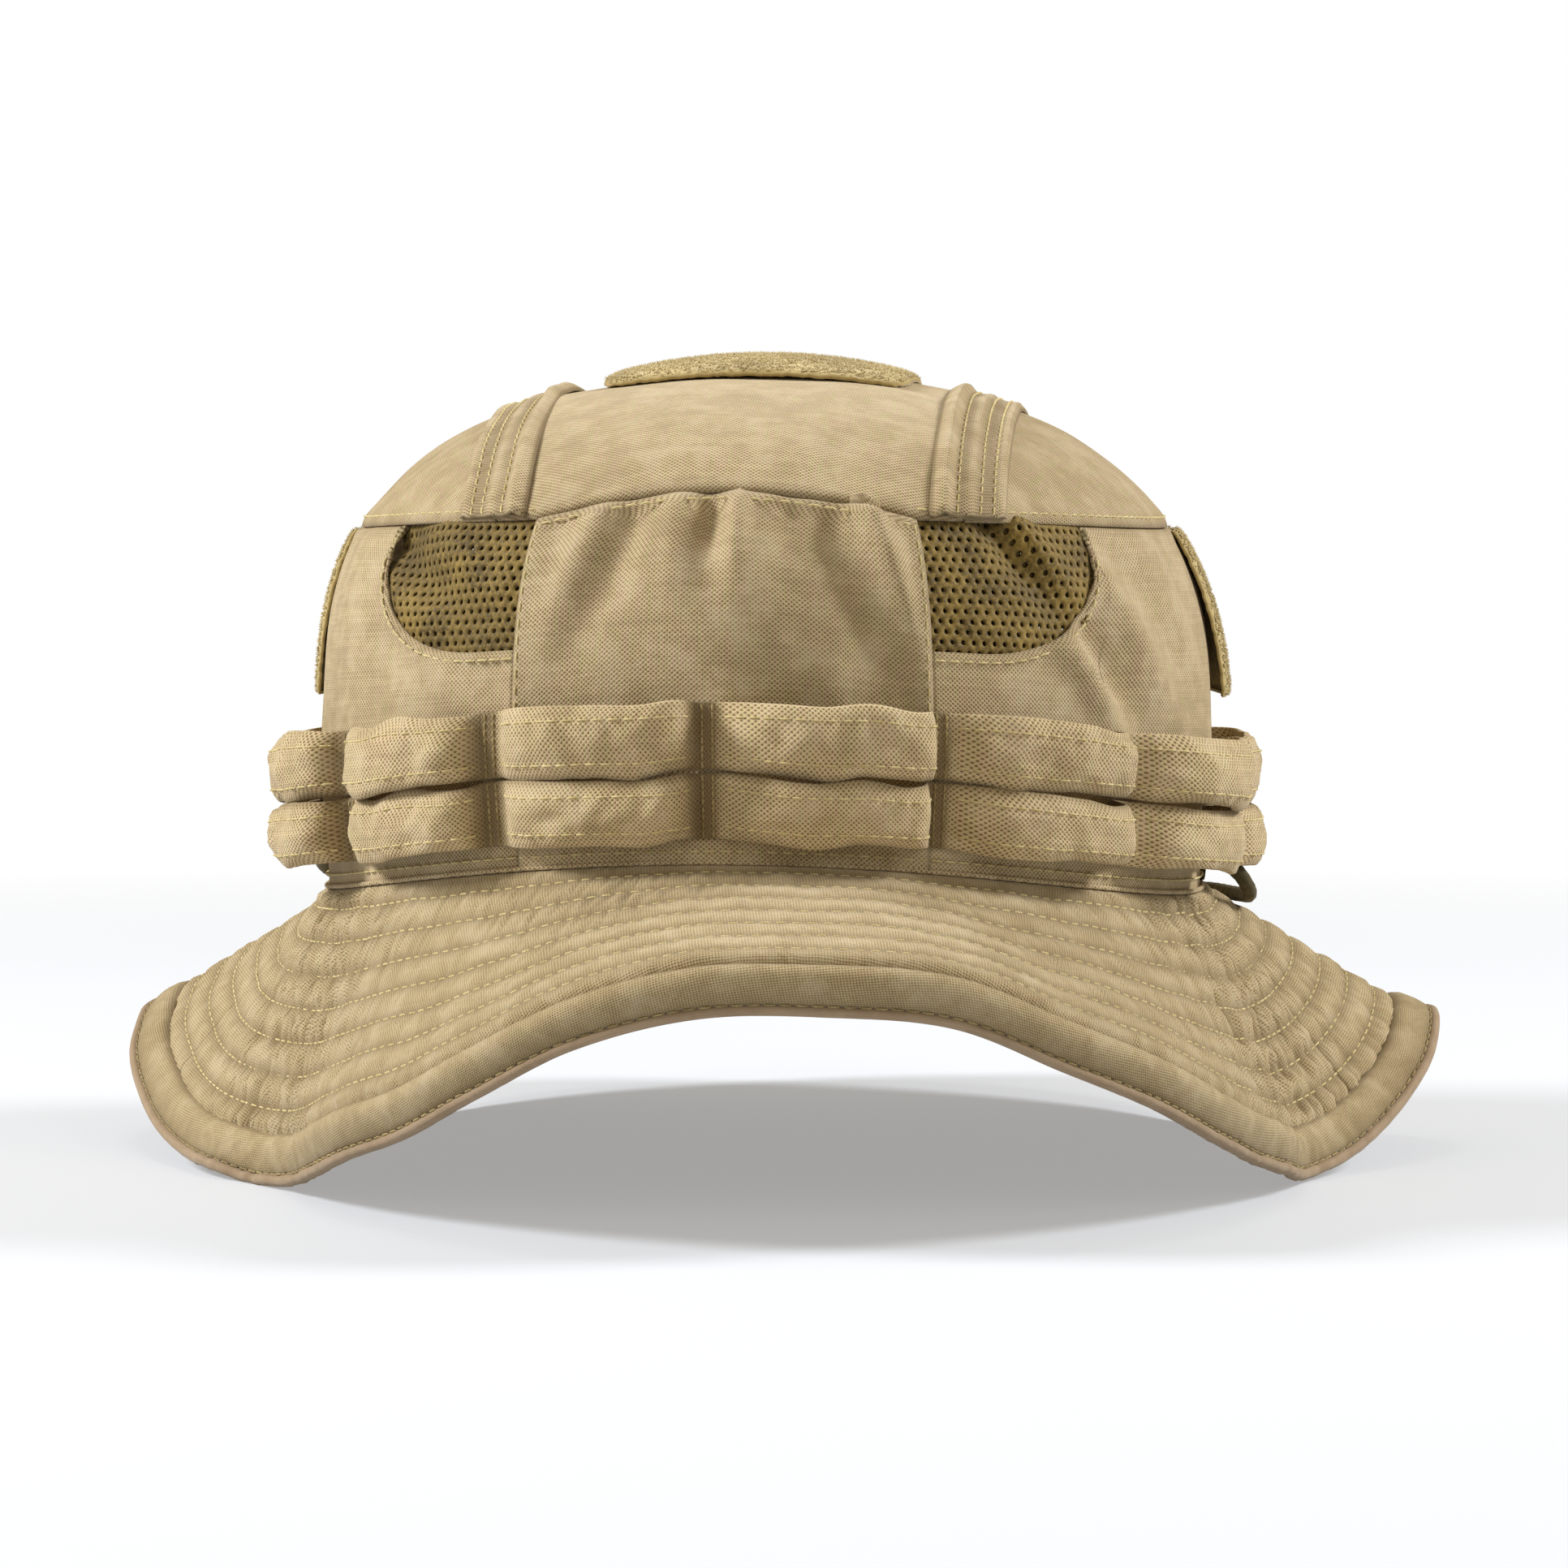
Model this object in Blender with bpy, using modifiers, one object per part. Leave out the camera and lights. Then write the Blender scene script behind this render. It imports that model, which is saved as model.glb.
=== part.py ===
"""Boonie hat with a vented crown, a foliage loop band and a stitched brim.

Every separate piece of fabric or trim is one object. The hat stands on the four
drooping corners of its brim. Front is -Y, up is +Z, left and right are as seen from the
front, with right at +X. Lengths are in metres.
Angles go round the crown from the front: 0 is the front, 90 is +X, 180 is the rear.
"""
import math

import bmesh
import bpy
from mathutils import Matrix, Vector

MM = 0.001

# Crown: an oval base ring, higher at the front and rear than at the sides.
HALF_WIDTH = 88 * MM
HALF_LENGTH = 98 * MM
SEAM_HEIGHT = 61.55 * MM
SEAM_SADDLE = 5.7 * MM
REAR_SAG = 6 * MM
APEX_HEIGHT = 160 * MM
CROWN_POWER = 4.7
CROWN_BULGE = 0.026
BULGE_TOP = 0.3

# The oval's centre, so that the whole hat is centred over the origin.
PLACE = Vector((-0.4 * MM, -2.5 * MM, 0))

# Crown panels, in degrees round the crown and in shares of the crown's height.
PANEL_EDGE = 26.2
VENT_EDGE = 54.3
VENT_CORNER = 33
VENT_LAST_COLUMN = 53.5
VENT_BOTTOM = 0.44
VENT_SIDE = 0.69
TOP_SEAM = 0.70
TOP_ARCH = 0.05
STRAP_X = 45 * MM
STRAP_WIDTH = 14 * MM

# Layers: fabric thickness, and the gap that keeps neighbours apart.
CLOTH = 1.2 * MM
SKIN = 0.8 * MM
GAP = 0.3 * MM
SEWN_GAP = 1.6 * MM

# Loop pads for patches.
PAD_HALF_WIDTH = 30.5 * MM
PAD_HALF_LENGTH = 29 * MM
PAD_THICKNESS = 2.4 * MM
PAD_FLAT_DROP = 0.5 * MM
PATCH_START = 86
PATCH_END = 124
PATCH_LOW = 0.37
PATCH_HIGH = 0.69
PATCH_THICKNESS = 2 * MM

# Foliage band: two strips tacked down together at even stations.
LOOP_COUNT = 13
FIRST_TACK = -1.0
STRIP_HEIGHT = 12.5 * MM
STRIP_BOTTOMS = (5 * MM, 18 * MM)
LOOP_BULGE = 8.5 * MM
LOOP_SIDE_BULGE = 2.5 * MM
STRIP_THICKNESS = 1.2 * MM
COLUMNS_PER_LOOP = 8

# Brim: width along the cloth, and how steeply it droops at each angle.
BRIM_WIDTH = 57 * MM
BRIM_SIDE_EXTRA = 4 * MM
HEM_START = 14 * MM
HEM_MIDDLE = 10 * MM
HEM_END = 6 * MM
BRIM_ROWS = 5
BRIM_COLUMNS = 60
# angle: droop of the brim in degrees, droop of its hem in degrees
DROOP = {
    -170: (28, 42), -152: (47, 60), -139: (67, 70), -129: (76, 72), -119: (54, 48),
    -110: (31, 18), -100: (37, 20), -90: (50, 30), -80: (60, 38), -72: (66, 46),
    -64: (72, 60), -57: (72, 74), -50: (68, 82), -40: (60, 88), -30: (52, 90),
    -20: (39, 92), -10: (25, 92), 0: (17, 92), 10: (16, 92), 20: (18, 92), 30: (28, 90),
    40: (37, 88), 50: (47, 86), 60: (55, 80), 68: (60, 71), 76: (65, 58), 84: (60, 40),
    92: (51, 18), 99: (39, 6), 108: (31, 8), 116: (50, 43), 125: (71.5, 67), 136: (65, 70),
    152: (46, 60), 170: (28, 42),
}

SWEATBAND_LOW = 0.5 * MM
SWEATBAND_HEIGHT = 28 * MM
SWEATBAND_INSET = 2.6 * MM

# Chin cord, its eyelets and its cord lock.
CORD_DIAMETER = 3.2 * MM
CORD_POINT_SPACING = 2.05 * CORD_DIAMETER
EYELET_ANGLES = {"left": -98.0, "right": 96.0}
EYELET_HEIGHT = 4.7 * MM
EYELET_BORE = 2.1 * MM
EYELET_BARREL = 2.5 * MM
EYELET_FLANGE = 3.9 * MM
EYELET_FLANGE_THICKNESS = 0.8 * MM
LOCK_PLACE = 24 * MM
LOCK_RISE = 5.6 * MM
LOCK_DEPTH = 13 * MM
LOCK_HEIGHT = 9.4 * MM
LOCK_CLOSED_END = -12 * MM
LOCK_OPEN_END = 8 * MM
LOCK_BORE = 3.3 * MM
LOCK_FLOOR = 1.5 * MM
BUTTON_RADIUS = 3 * MM
BUTTON_HEAD_RADIUS = 4 * MM
BUTTON_HEAD = 2.4 * MM
BUTTON_FOOT = 1.7 * MM
BUTTON_TRAVEL = 3 * MM
CORD_OFFSET = CORD_DIAMETER / 2 + GAP / 2
SPRING_RADIUS = 2.2 * MM
SPRING_WIRE = 0.5 * MM
SPRING_TURNS = 3

COLORS = {
    "canvas": (0.44, 0.36, 0.22, 1), "mesh": (0.27, 0.21, 0.08, 1),
    "loop_pile": (0.38, 0.31, 0.14, 1), "lining": (0.40, 0.31, 0.22, 1),
    "cord": (0.08, 0.065, 0.02, 1), "plastic": (0.05, 0.045, 0.02, 1),
    "brass": (0.25, 0.19, 0.09, 1), "steel": (0.55, 0.55, 0.53, 1),
}


# ---------------------------------------------------------------- surfaces

def seam_height(angle):
    """Height of the seam between the crown and the brim."""
    turn = math.radians(angle)
    rear = max(0.0, -math.cos(turn))
    return SEAM_HEIGHT + SEAM_SADDLE * math.cos(2 * turn) - REAR_SAG * rear ** 2


def seam_point(angle):
    turn = math.radians(angle)
    return Vector((HALF_WIDTH * math.sin(turn), -HALF_LENGTH * math.cos(turn), seam_height(angle)))


def outward(angle):
    """Level direction straight out of the base ring."""
    turn = math.radians(angle)
    return Vector((math.sin(turn) / HALF_WIDTH, -math.cos(turn) / HALF_LENGTH, 0)).normalized()


def crown_spread(rise):
    """Width of the crown at a share of its height, as a share of the base ring."""
    grown = min(1.0, max(0.0, rise) / BULGE_TOP)
    bulge = 1 + CROWN_BULGE * grown * grown * (3 - 2 * grown)
    return bulge * max(0.0, 1 - max(0.0, rise) ** CROWN_POWER) ** 0.5


def crown_rise(spread):
    """Share of the crown's height at which it has this spread, on its upper part."""
    low, high = BULGE_TOP, 1.0
    for _ in range(50):
        middle = (low + high) / 2
        if crown_spread(middle) > spread:
            low = middle
        else:
            high = middle
    return low


def crown_point(angle, rise):
    base = seam_point(angle)
    spread = crown_spread(rise)
    return Vector((base.x * spread, base.y * spread, base.z + (APEX_HEIGHT - base.z) * rise))


def crown_normal(angle, rise):
    step = 0.004
    around = crown_point(angle + 0.5, rise) - crown_point(angle - 0.5, rise)
    upward = crown_point(angle, rise + step) - crown_point(angle, rise - step)
    return around.cross(upward).normalized()


def wall(angle, rise, out=0.0):
    """Point on the crown's wall, or off it by out."""
    return crown_point(angle, rise) + crown_normal(angle, rise) * out


def top(x, y, out=0.0):
    """Point on the crown's top over the place x, y, or off it by out."""
    def height(px, py):
        spread = math.hypot(px / HALF_WIDTH, py / HALF_LENGTH)
        angle = math.degrees(math.atan2(px / HALF_WIDTH, -py / HALF_LENGTH))
        base = seam_height(angle)
        return base + (APEX_HEIGHT - base) * crown_rise(spread)
    step = 0.3 * MM
    slope_x = (height(x + step, y) - height(x - step, y)) / (2 * step)
    slope_y = (height(x, y + step) - height(x, y - step)) / (2 * step)
    normal = Vector((-slope_x, -slope_y, 1)).normalized()
    return Vector((x, y, height(x, y))) + normal * out


def top_seam(angle):
    """Share of the crown's height where its top panels begin."""
    turn = abs((angle + 90) % 180 - 90) / PANEL_EDGE
    arch = max(0.0, math.cos(min(turn, 1.0) * math.pi / 2))
    return TOP_SEAM + TOP_ARCH * arch


def top_edge(x, front):
    """The y where the top seam crosses x, at the front or at the rear."""
    low, high = (0.0, 90.0) if front else (180.0, 90.0)
    for _ in range(40):
        middle = (low + high) / 2
        if crown_point(middle, top_seam(middle)).x < abs(x):
            low = middle
        else:
            high = middle
    return crown_point(low, top_seam(low)).y


def droop(angle):
    """Droop of the brim and of its hem, on a smooth closed curve through DROOP."""
    keys = sorted(DROOP)
    angle = (angle - keys[0]) % 360 + keys[0]
    count = len(keys)
    place = max(i for i in range(count) if keys[i] <= angle)
    near = [keys[(place + i) % count] + 360 * ((place + i) // count) for i in (-1, 0, 1, 2)]
    values = [DROOP[(key + 180) % 360 - 180] for key in near]
    span = near[2] - near[1]
    share = (angle - near[1]) / span
    result = []
    for before, start, end, after in zip(*values):
        leave = (end - before) / (near[2] - near[0]) * span
        arrive = (after - start) / (near[3] - near[1]) * span
        result.append(
            start * (2 * share ** 3 - 3 * share ** 2 + 1) + leave * (share ** 3 - 2 * share ** 2 + share)
            + end * (3 * share ** 2 - 2 * share ** 3) + arrive * (share ** 3 - share ** 2))
    return result


def brim_width(angle):
    return BRIM_WIDTH + BRIM_SIDE_EXTRA * math.sin(math.radians(angle)) ** 2


def brim_section(angle, along):
    """Run, drop and slope of the brim's top surface, along the cloth from the seam."""
    main, hem = (math.radians(value) for value in droop(angle))
    width = brim_width(angle)
    start, end = width - HEM_START, width - HEM_END
    steps = 24
    run = drop = 0.0
    for index in range(steps):
        place = along * (index + 0.5) / steps
        share = min(1.0, max(0.0, (place - start) / (end - start)))
        slope = main + (hem - main) * share
        run += math.cos(slope) * along / steps
        drop += math.sin(slope) * along / steps
    share = min(1.0, max(0.0, (along - start) / (end - start)))
    return run, drop, main + (hem - main) * share


def brim_surface(angle, along):
    run, drop, _ = brim_section(angle, along)
    return seam_point(angle) + outward(angle) * run - Vector((0, 0, drop))


def brim(angle, along, out=0.0):
    """Point on the brim's top surface, or off it by out."""
    here = brim_surface(angle, along)
    if out == 0.0:
        return here
    around = brim_surface(angle + 0.5, along) - brim_surface(angle - 0.5, along)
    slope = brim_section(angle, along)[2]
    down = outward(angle) * math.cos(slope) - Vector((0, 0, math.sin(slope)))
    return here + down.cross(around).normalized() * out


# ---------------------------------------------------------------- tools

def clear_scene():
    for item in list(bpy.data.objects):
        bpy.data.objects.remove(item, do_unlink=True)


def make_materials():
    materials = {}
    for name, color in COLORS.items():
        material = bpy.data.materials.new(name)
        material.use_nodes = True
        shader = material.node_tree.nodes["Principled BSDF"]
        shader.inputs["Base Color"].default_value = color
        shader.inputs["Roughness"].default_value = 0.4 if name in ("plastic", "steel", "brass") else 0.9
        shader.inputs["Metallic"].default_value = 1.0 if name in ("steel", "brass") else 0.0
        materials[name] = material
    return materials


def add_object(name, mesh, material, collection):
    made = bpy.data.objects.new(name, mesh)
    collection.objects.link(made)
    if material is not None:
        mesh.materials.append(material)
    return made


def mapped_grid(place, columns, rows, closed=False):
    """A grid whose every corner goes where place(u, v) says, u and v from 0 to 1."""
    mesh = bpy.data.meshes.new("grid")
    shape = bmesh.new()
    bmesh.ops.create_grid(shape, x_segments=columns, y_segments=rows, size=0.5)
    for corner in shape.verts:
        corner.co = place(corner.co.x + 0.5, corner.co.y + 0.5)
    if closed:
        bmesh.ops.remove_doubles(shape, verts=shape.verts, dist=1e-6)
    shape.to_mesh(mesh)
    shape.free()
    mesh.shade_smooth()
    return mesh


def add_shell(name, place, columns, rows, thickness, material, closed=False, offset=-1):
    """A curved sheet: offset -1 thickens it inwards from place, 1 outwards."""
    mesh = mapped_grid(place, columns, rows, closed)
    shell = add_object(name, mesh, MATERIALS[material], PARTS)
    solidify = shell.modifiers.new("Thickness", "SOLIDIFY")
    solidify.thickness = thickness
    solidify.offset = offset
    return shell


def between(low, high, share):
    return low + (high - low) * share


def cut(target, cutter):
    cutter.hide_render = True
    cutter.display_type = "WIRE"
    hole = target.modifiers.new("Cut", "BOOLEAN")
    hole.operation = "DIFFERENCE"
    hole.object = cutter


def cylinder_mesh(radius, length, sides):
    """A cylinder along Z, centred."""
    mesh = bpy.data.meshes.new("cylinder")
    shape = bmesh.new()
    bmesh.ops.create_cone(shape, cap_ends=True, segments=sides, radius1=radius, radius2=radius, depth=length)
    shape.to_mesh(mesh)
    shape.free()
    return mesh


def box_mesh(size, centre=(0, 0, 0)):
    mesh = bpy.data.meshes.new("box")
    shape = bmesh.new()
    bmesh.ops.create_cube(shape, size=1)
    for corner in shape.verts:
        corner.co = Vector(centre) + Vector([a * b for a, b in zip(corner.co, size)])
    shape.to_mesh(mesh)
    shape.free()
    return mesh


# ---------------------------------------------------------------- crown

def lower_edge(angle):
    """Top edge of a side panel: a quarter oval lets each vent in."""
    turn = abs((angle + 90) % 180 - 90)
    if turn >= VENT_EDGE:
        return TOP_SEAM
    share = max(0.0, turn - VENT_CORNER) / (VENT_EDGE - VENT_CORNER)
    return between(VENT_BOTTOM, VENT_SIDE, 1 - (1 - share ** 2) ** 0.5)


def gap_angle(width=GAP):
    """Angle round the crown that is about this wide."""
    return math.degrees(width / HALF_WIDTH)


def gap_rise(width=GAP):
    return width / (APEX_HEIGHT - SEAM_HEIGHT)


def add_end_panel(name, middle):
    """Front or rear panel, from the brim seam up to the arched top seam."""
    half = PANEL_EDGE - gap_angle() / 2

    def place(u, v):
        angle = middle + between(-half, half, u)
        return wall(angle, between(gap_rise() / 2, top_seam(angle) - gap_rise() / 2, v))
    add_shell(name, place, 7, 5, CLOTH, "canvas")


def vent_columns():
    """Angles of the columns across a vent, closer where its outline turns upright."""
    return [PANEL_EDGE + gap_angle() / 2, VENT_CORNER, 40, 46, 50, 52, VENT_LAST_COLUMN]


def add_side_panel(name, side):
    """Side panel with a quarter oval cut from each upper corner, where a vent is let in."""
    steps = vent_columns() + [VENT_EDGE + gap_angle() / 2, 61, 68, 75, 82]
    angles = steps + [90] + [180 - step for step in reversed(steps)]
    if side < 0:
        angles = [-angle for angle in reversed(angles)]

    def place(u, v):
        angle = angles[round(u * (len(angles) - 1))]
        gap = gap_rise(SEWN_GAP if lower_edge(angle) < TOP_SEAM else GAP)
        return wall(angle, between(gap_rise() / 2, lower_edge(angle) - gap / 2, v))
    return add_shell(name, place, len(angles) - 1, 5, CLOTH, "canvas")


def add_vent(name, side, rear):
    """Mesh vent in the upper corner between an end panel and a side panel."""
    steps = vent_columns()
    angles = [180 - step for step in reversed(steps)] if rear else steps
    if side < 0:
        angles = [-angle for angle in reversed(angles)]

    def place(u, v):
        angle = angles[round(u * (len(angles) - 1))]
        low = lower_edge(angle) + gap_rise(SEWN_GAP) / 2
        return wall(angle, between(low, top_seam(angle) - gap_rise() / 2, v))
    add_shell(name, place, len(angles) - 1, 4, SKIN, "mesh")


def add_top_centre():
    half = STRAP_X - SEWN_GAP / 2

    def place(u, v):
        x = between(-half, half, u)
        return top(x, between(top_edge(x, True) + GAP, top_edge(x, False) - GAP, v))
    add_shell("crown_top_center", place, 8, 10, CLOTH, "canvas")


def top_side_width(y):
    """The x where the top seam crosses y."""
    low, high = 0.0, 90.0
    if y > 0:
        low = 180.0
    for _ in range(40):
        middle = (low + high) / 2
        if abs(crown_point(middle, top_seam(middle)).y) > abs(y):
            low = middle
        else:
            high = middle
    return crown_point(high, top_seam(high)).x


def add_top_side(name, side):
    inner = STRAP_X + SEWN_GAP / 2
    front = top_edge(STRAP_X, True) + 4 * MM
    rear = top_edge(STRAP_X, False) - 4 * MM

    def place(u, v):
        y = between(front, rear, (1 - math.cos(math.pi * v)) / 2)
        x = between(inner, top_side_width(y) - GAP, u if side > 0 else 1 - u)
        return top(side * x, y)
    add_shell(name, place, 4, 10, CLOTH, "canvas")


def add_top_strap(name, side):
    """Reinforcing strap sewn over the joint between two top panels."""
    half = STRAP_WIDTH / 2

    def place(u, v):
        x = side * STRAP_X + between(-half, half, u)
        return top(x, between(top_edge(x, True) + GAP, top_edge(x, False) - GAP, v), 2.5 * GAP)
    add_shell(name, place, 2, 12, SKIN, "canvas", offset=1)


def add_top_pad():
    """Loop pad on top of the crown, with a small level face in its middle."""
    level = APEX_HEIGHT + GAP + PAD_THICKNESS - PAD_FLAT_DROP
    mesh = mapped_grid(lambda u, v: Vector((u, v, 0)), 8, 8)
    pad = add_object("top_loop_pad", mesh, MATERIALS["loop_pile"], PARTS)
    shape = bmesh.new()
    shape.from_mesh(mesh)
    lower = bmesh.ops.extrude_face_region(shape, geom=shape.faces[:])["geom"]
    raised = {item for item in lower if isinstance(item, bmesh.types.BMVert)}
    for corner in shape.verts:
        u, v = corner.co.x * 2 - 1, corner.co.y * 2 - 1
        # rounded corners: a square moved towards a circle
        x = u * (1 - 0.08 * v ** 8) * PAD_HALF_WIDTH
        y = v * (1 - 0.08 * u ** 8) * PAD_HALF_LENGTH
        corner.co = top(x, y, GAP + (PAD_THICKNESS if corner in raised else 0))
        if corner in raised:
            corner.co.z = min(corner.co.z, level)
    bmesh.ops.recalc_face_normals(shape, faces=shape.faces)
    shape.to_mesh(mesh)
    shape.free()
    return pad


def add_side_patch(name, side):
    def place(u, v):
        angle = side * between(PATCH_START, PATCH_END, u if side > 0 else 1 - u)
        return wall(angle, between(PATCH_LOW, PATCH_HIGH, v), GAP)
    add_shell(name, place, 8, 4, PATCH_THICKNESS, "loop_pile", offset=1)


def add_foliage_strip(name, bottom):
    """One strip all round the crown, flat at each tack and bulging between tacks."""
    columns = LOOP_COUNT * COLUMNS_PER_LOOP

    def place(u, v):
        angle = FIRST_TACK + 360 * u
        wave = abs(math.sin(math.pi * LOOP_COUNT * u)) ** 0.8
        side = math.sin(math.radians(angle)) ** 2
        out = GAP + (LOOP_BULGE + LOOP_SIDE_BULGE * side) * wave
        base = seam_point(angle)
        rise = (bottom + STRIP_HEIGHT * v) / (APEX_HEIGHT - base.z)
        return wall(angle, rise, out)
    add_shell(name, place, columns, 1, STRIP_THICKNESS, "canvas", closed=True, offset=1)


def add_sweatband():
    def place(u, v):
        angle = 360 * u
        rise = (SWEATBAND_LOW + SWEATBAND_HEIGHT * v) / (APEX_HEIGHT - seam_height(angle))
        return wall(angle, rise, -SWEATBAND_INSET)
    add_shell("sweatband", place, 48, 1, SKIN, "lining", closed=True)


# ---------------------------------------------------------------- brim

def brim_row(angle, edge, inner, share):
    """Place along the cloth of a row of points: all layers bend at the same rows."""
    width = brim_width(angle)
    rows = [width - edge, width - HEM_END, width - HEM_MIDDLE, width - HEM_START, width / 2, inner]
    return rows[round(share * (len(rows) - 1))]


def add_brim_half(name, middle, depth, material):
    """Front or rear half of one brim layer, sewn to the other half at the sides."""
    half = 90 - gap_angle() / 2

    def place(u, v):
        angle = middle + max(-half, min(half, between(-90, 90, u)))
        return brim(angle, brim_row(angle, 1.4 * MM, GAP, v), -depth)
    add_shell(name, place, BRIM_COLUMNS // 2, BRIM_ROWS, SKIN, material)


def add_stiffener():
    def place(u, v):
        angle = 360 * u
        return brim(angle, brim_row(angle, 1.8 * MM, 1.2 * MM, v), -(SKIN + GAP))
    add_shell("brim_stiffener", place, BRIM_COLUMNS, BRIM_ROWS, SKIN, "lining", closed=True)


def add_binding():
    """Folded strip that wraps the brim's edge from the top to the underside."""
    depth = 3 * SKIN + 2 * GAP
    # distance in from the edge, height above the brim's top surface
    below = -depth - 2 * GAP
    profile = [(HEM_MIDDLE, below), (HEM_END, below), (1.0 * MM, below), (0.8 * MM, -depth),
               (0.8 * MM, 0.0), (1.0 * MM, GAP), (HEM_END, GAP), (HEM_MIDDLE, GAP)]

    def place(u, v):
        angle = 360 * u
        inset, height = profile[round(v * (len(profile) - 1))]
        return brim(angle, brim_width(angle) - inset, height)
    add_shell("brim_edge_binding", place, BRIM_COLUMNS, len(profile) - 1, SKIN, "canvas",
              closed=True, offset=1)


# ---------------------------------------------------------------- chin cord

def lock_frame():
    """Matrix of the cord lock: X along its button, Y along the cords, Z off the brim."""
    slope = brim_section(180, LOCK_PLACE)[2]
    along = Vector((0, math.cos(slope), -math.sin(slope)))
    off = Vector((0, math.sin(slope), math.cos(slope)))
    axes = Matrix((Vector((1, 0, 0)), along, off)).transposed().to_4x4()
    centre = brim(180, LOCK_PLACE, LOCK_RISE)
    return Matrix.Translation(centre) @ axes


def rear_angle(x, along):
    """Angle near the rear at which the brim has this x, this far along the cloth."""
    low, high = 90.0, 180.0
    for _ in range(40):
        middle = (low + high) / 2
        if brim_surface(middle, along).x > abs(x):
            low = middle
        else:
            high = middle
    return low if x > 0 else 360 - low


def eyelet_axis(side):
    """Centre of an eyelet on the wall's outer face, and the way its bore points."""
    angle = EYELET_ANGLES[side]
    rise = EYELET_HEIGHT / (APEX_HEIGHT - seam_height(angle))
    return wall(angle, rise), crown_normal(angle, rise)


def bend(x, along, radius, start, end, lifts):
    """Points round an arc on the brim, in millimetres, each with its own lift."""
    points = []
    for index, lift in enumerate(lifts):
        turn = math.radians(between(start, end, index / (len(lifts) - 1)))
        points.append((x + radius * math.cos(turn), along + radius * math.sin(turn), lift))
    return points


def cord_side(side):
    """Route of one half of the cord, from its eyelet to the cord lock."""
    sign = 1 if side == "right" else -1
    start, way = eyelet_axis(side)
    route = [start + way * out * MM for out in (-1.8, 0.6, 2.8)]
    # Out of the eyelet: angle, distance out from the seam and height above it.
    if side == "right":
        arch = [(96.5, 6.2, 3.8), (97.6, 9.2, 0.9), (100, 11.2, -2.6)]
        lane = [(107, 12.5), (115, 10), (124, 8.5)]
    else:
        arch = [(-99.8, 6.6, 3.9), (-103.2, 9.2, 1.8), (-108, 10.2, -1.0)]
        lane = [(114.5, 11.5), (124, 8)]
    for angle, out, height in arch:
        route.append(seam_point(angle) + outward(angle) * out * MM + Vector((0, 0, height * MM)))
    # On the brim: angle and distance from the seam.
    rest = CORD_DIAMETER / 2 + 3 * GAP
    steep = 5 * GAP
    for angle, along in lane + [(134, 7.5), (144, 6.5), (151, 7.5)]:
        route.append(brim(sign * angle, along * MM, rest + (steep if 112 < angle < 140 else 0)))
    # Slack laid in two bends behind the crown: x, distance from the seam, and lift off the brim.
    slack = [(41.2, 13, 0), (39.2, 23, 0)]
    slack += bend(31, 34, 8.5, 0, 180, [0, 0, 0, 0, 0])
    slack += bend(12.1, 17, 10.35, 0, -158, [0, 0, 0.3, 1.6, 2.9])
    for x, along, lift in slack:
        route.append(brim(rear_angle(sign * x * MM, along * MM), along * MM, rest + lift * MM))
    return route


def cord_route():
    """The whole cord: round the back on the brim and through the cord lock twice."""
    frame = lock_frame()
    right, left = cord_side("right"), cord_side("left")
    straight = [frame @ Vector((CORD_OFFSET, y * MM, 0)) for y in (-9.6, -8, 0, 6, 11.5, 14)]
    bight = [(3.6, 42, 2.5), (7.0, 47, 1.4), (5.6, 52.4, 1.0), (0, 54.6, 1.0)]
    loop = []
    for x, along, lift in bight:
        height = CORD_DIAMETER / 2 + 2 * GAP + lift * MM
        angle = rear_angle(x * MM, along * MM) if x else 180
        loop.append(brim(angle, along * MM, height))
    half = straight + loop
    mirrored = [Vector((-point.x, point.y, point.z)) for point in reversed(half[:-1])]
    return right + half + mirrored + list(reversed(left))


def smooth_path(points, spacing):
    """Evenly spaced points on a smooth curve through the given ones."""
    fine = []
    for index in range(len(points) - 1):
        before = points[max(0, index - 1)]
        start, end = points[index], points[index + 1]
        after = points[min(len(points) - 1, index + 2)]
        span = (end - start).length
        leave = (end - before) / max(1e-9, (start - before).length + span) * span
        arrive = (after - start) / max(1e-9, (after - end).length + span) * span
        for step in range(12):
            share = step / 12
            fine.append(
                start * (2 * share ** 3 - 3 * share ** 2 + 1)
                + leave * (share ** 3 - 2 * share ** 2 + share)
                + end * (3 * share ** 2 - 2 * share ** 3) + arrive * (share ** 3 - share ** 2))
    fine.append(points[-1])
    lengths = [0.0]
    for before, after in zip(fine, fine[1:]):
        lengths.append(lengths[-1] + (after - before).length)
    count = max(2, round(lengths[-1] / spacing))
    path, place = [], 0
    for index in range(count + 1):
        wanted = lengths[-1] * index / count
        while place < len(fine) - 2 and lengths[place + 1] < wanted:
            place += 1
        share = (wanted - lengths[place]) / (lengths[place + 1] - lengths[place])
        path.append(fine[place].lerp(fine[place + 1], share))
    return path


def add_wire(name, points, diameter, material):
    curve = bpy.data.curves.new(name, "CURVE")
    curve.dimensions = "3D"
    curve.bevel_depth = diameter / 2
    curve.bevel_resolution = 2
    curve.use_fill_caps = True
    spline = curve.splines.new("POLY")
    spline.points.add(len(points) - 1)
    for target, point in zip(spline.points, points):
        target.co = (*point, 1)
    return add_object(name, curve, MATERIALS[material], PARTS)


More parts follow.
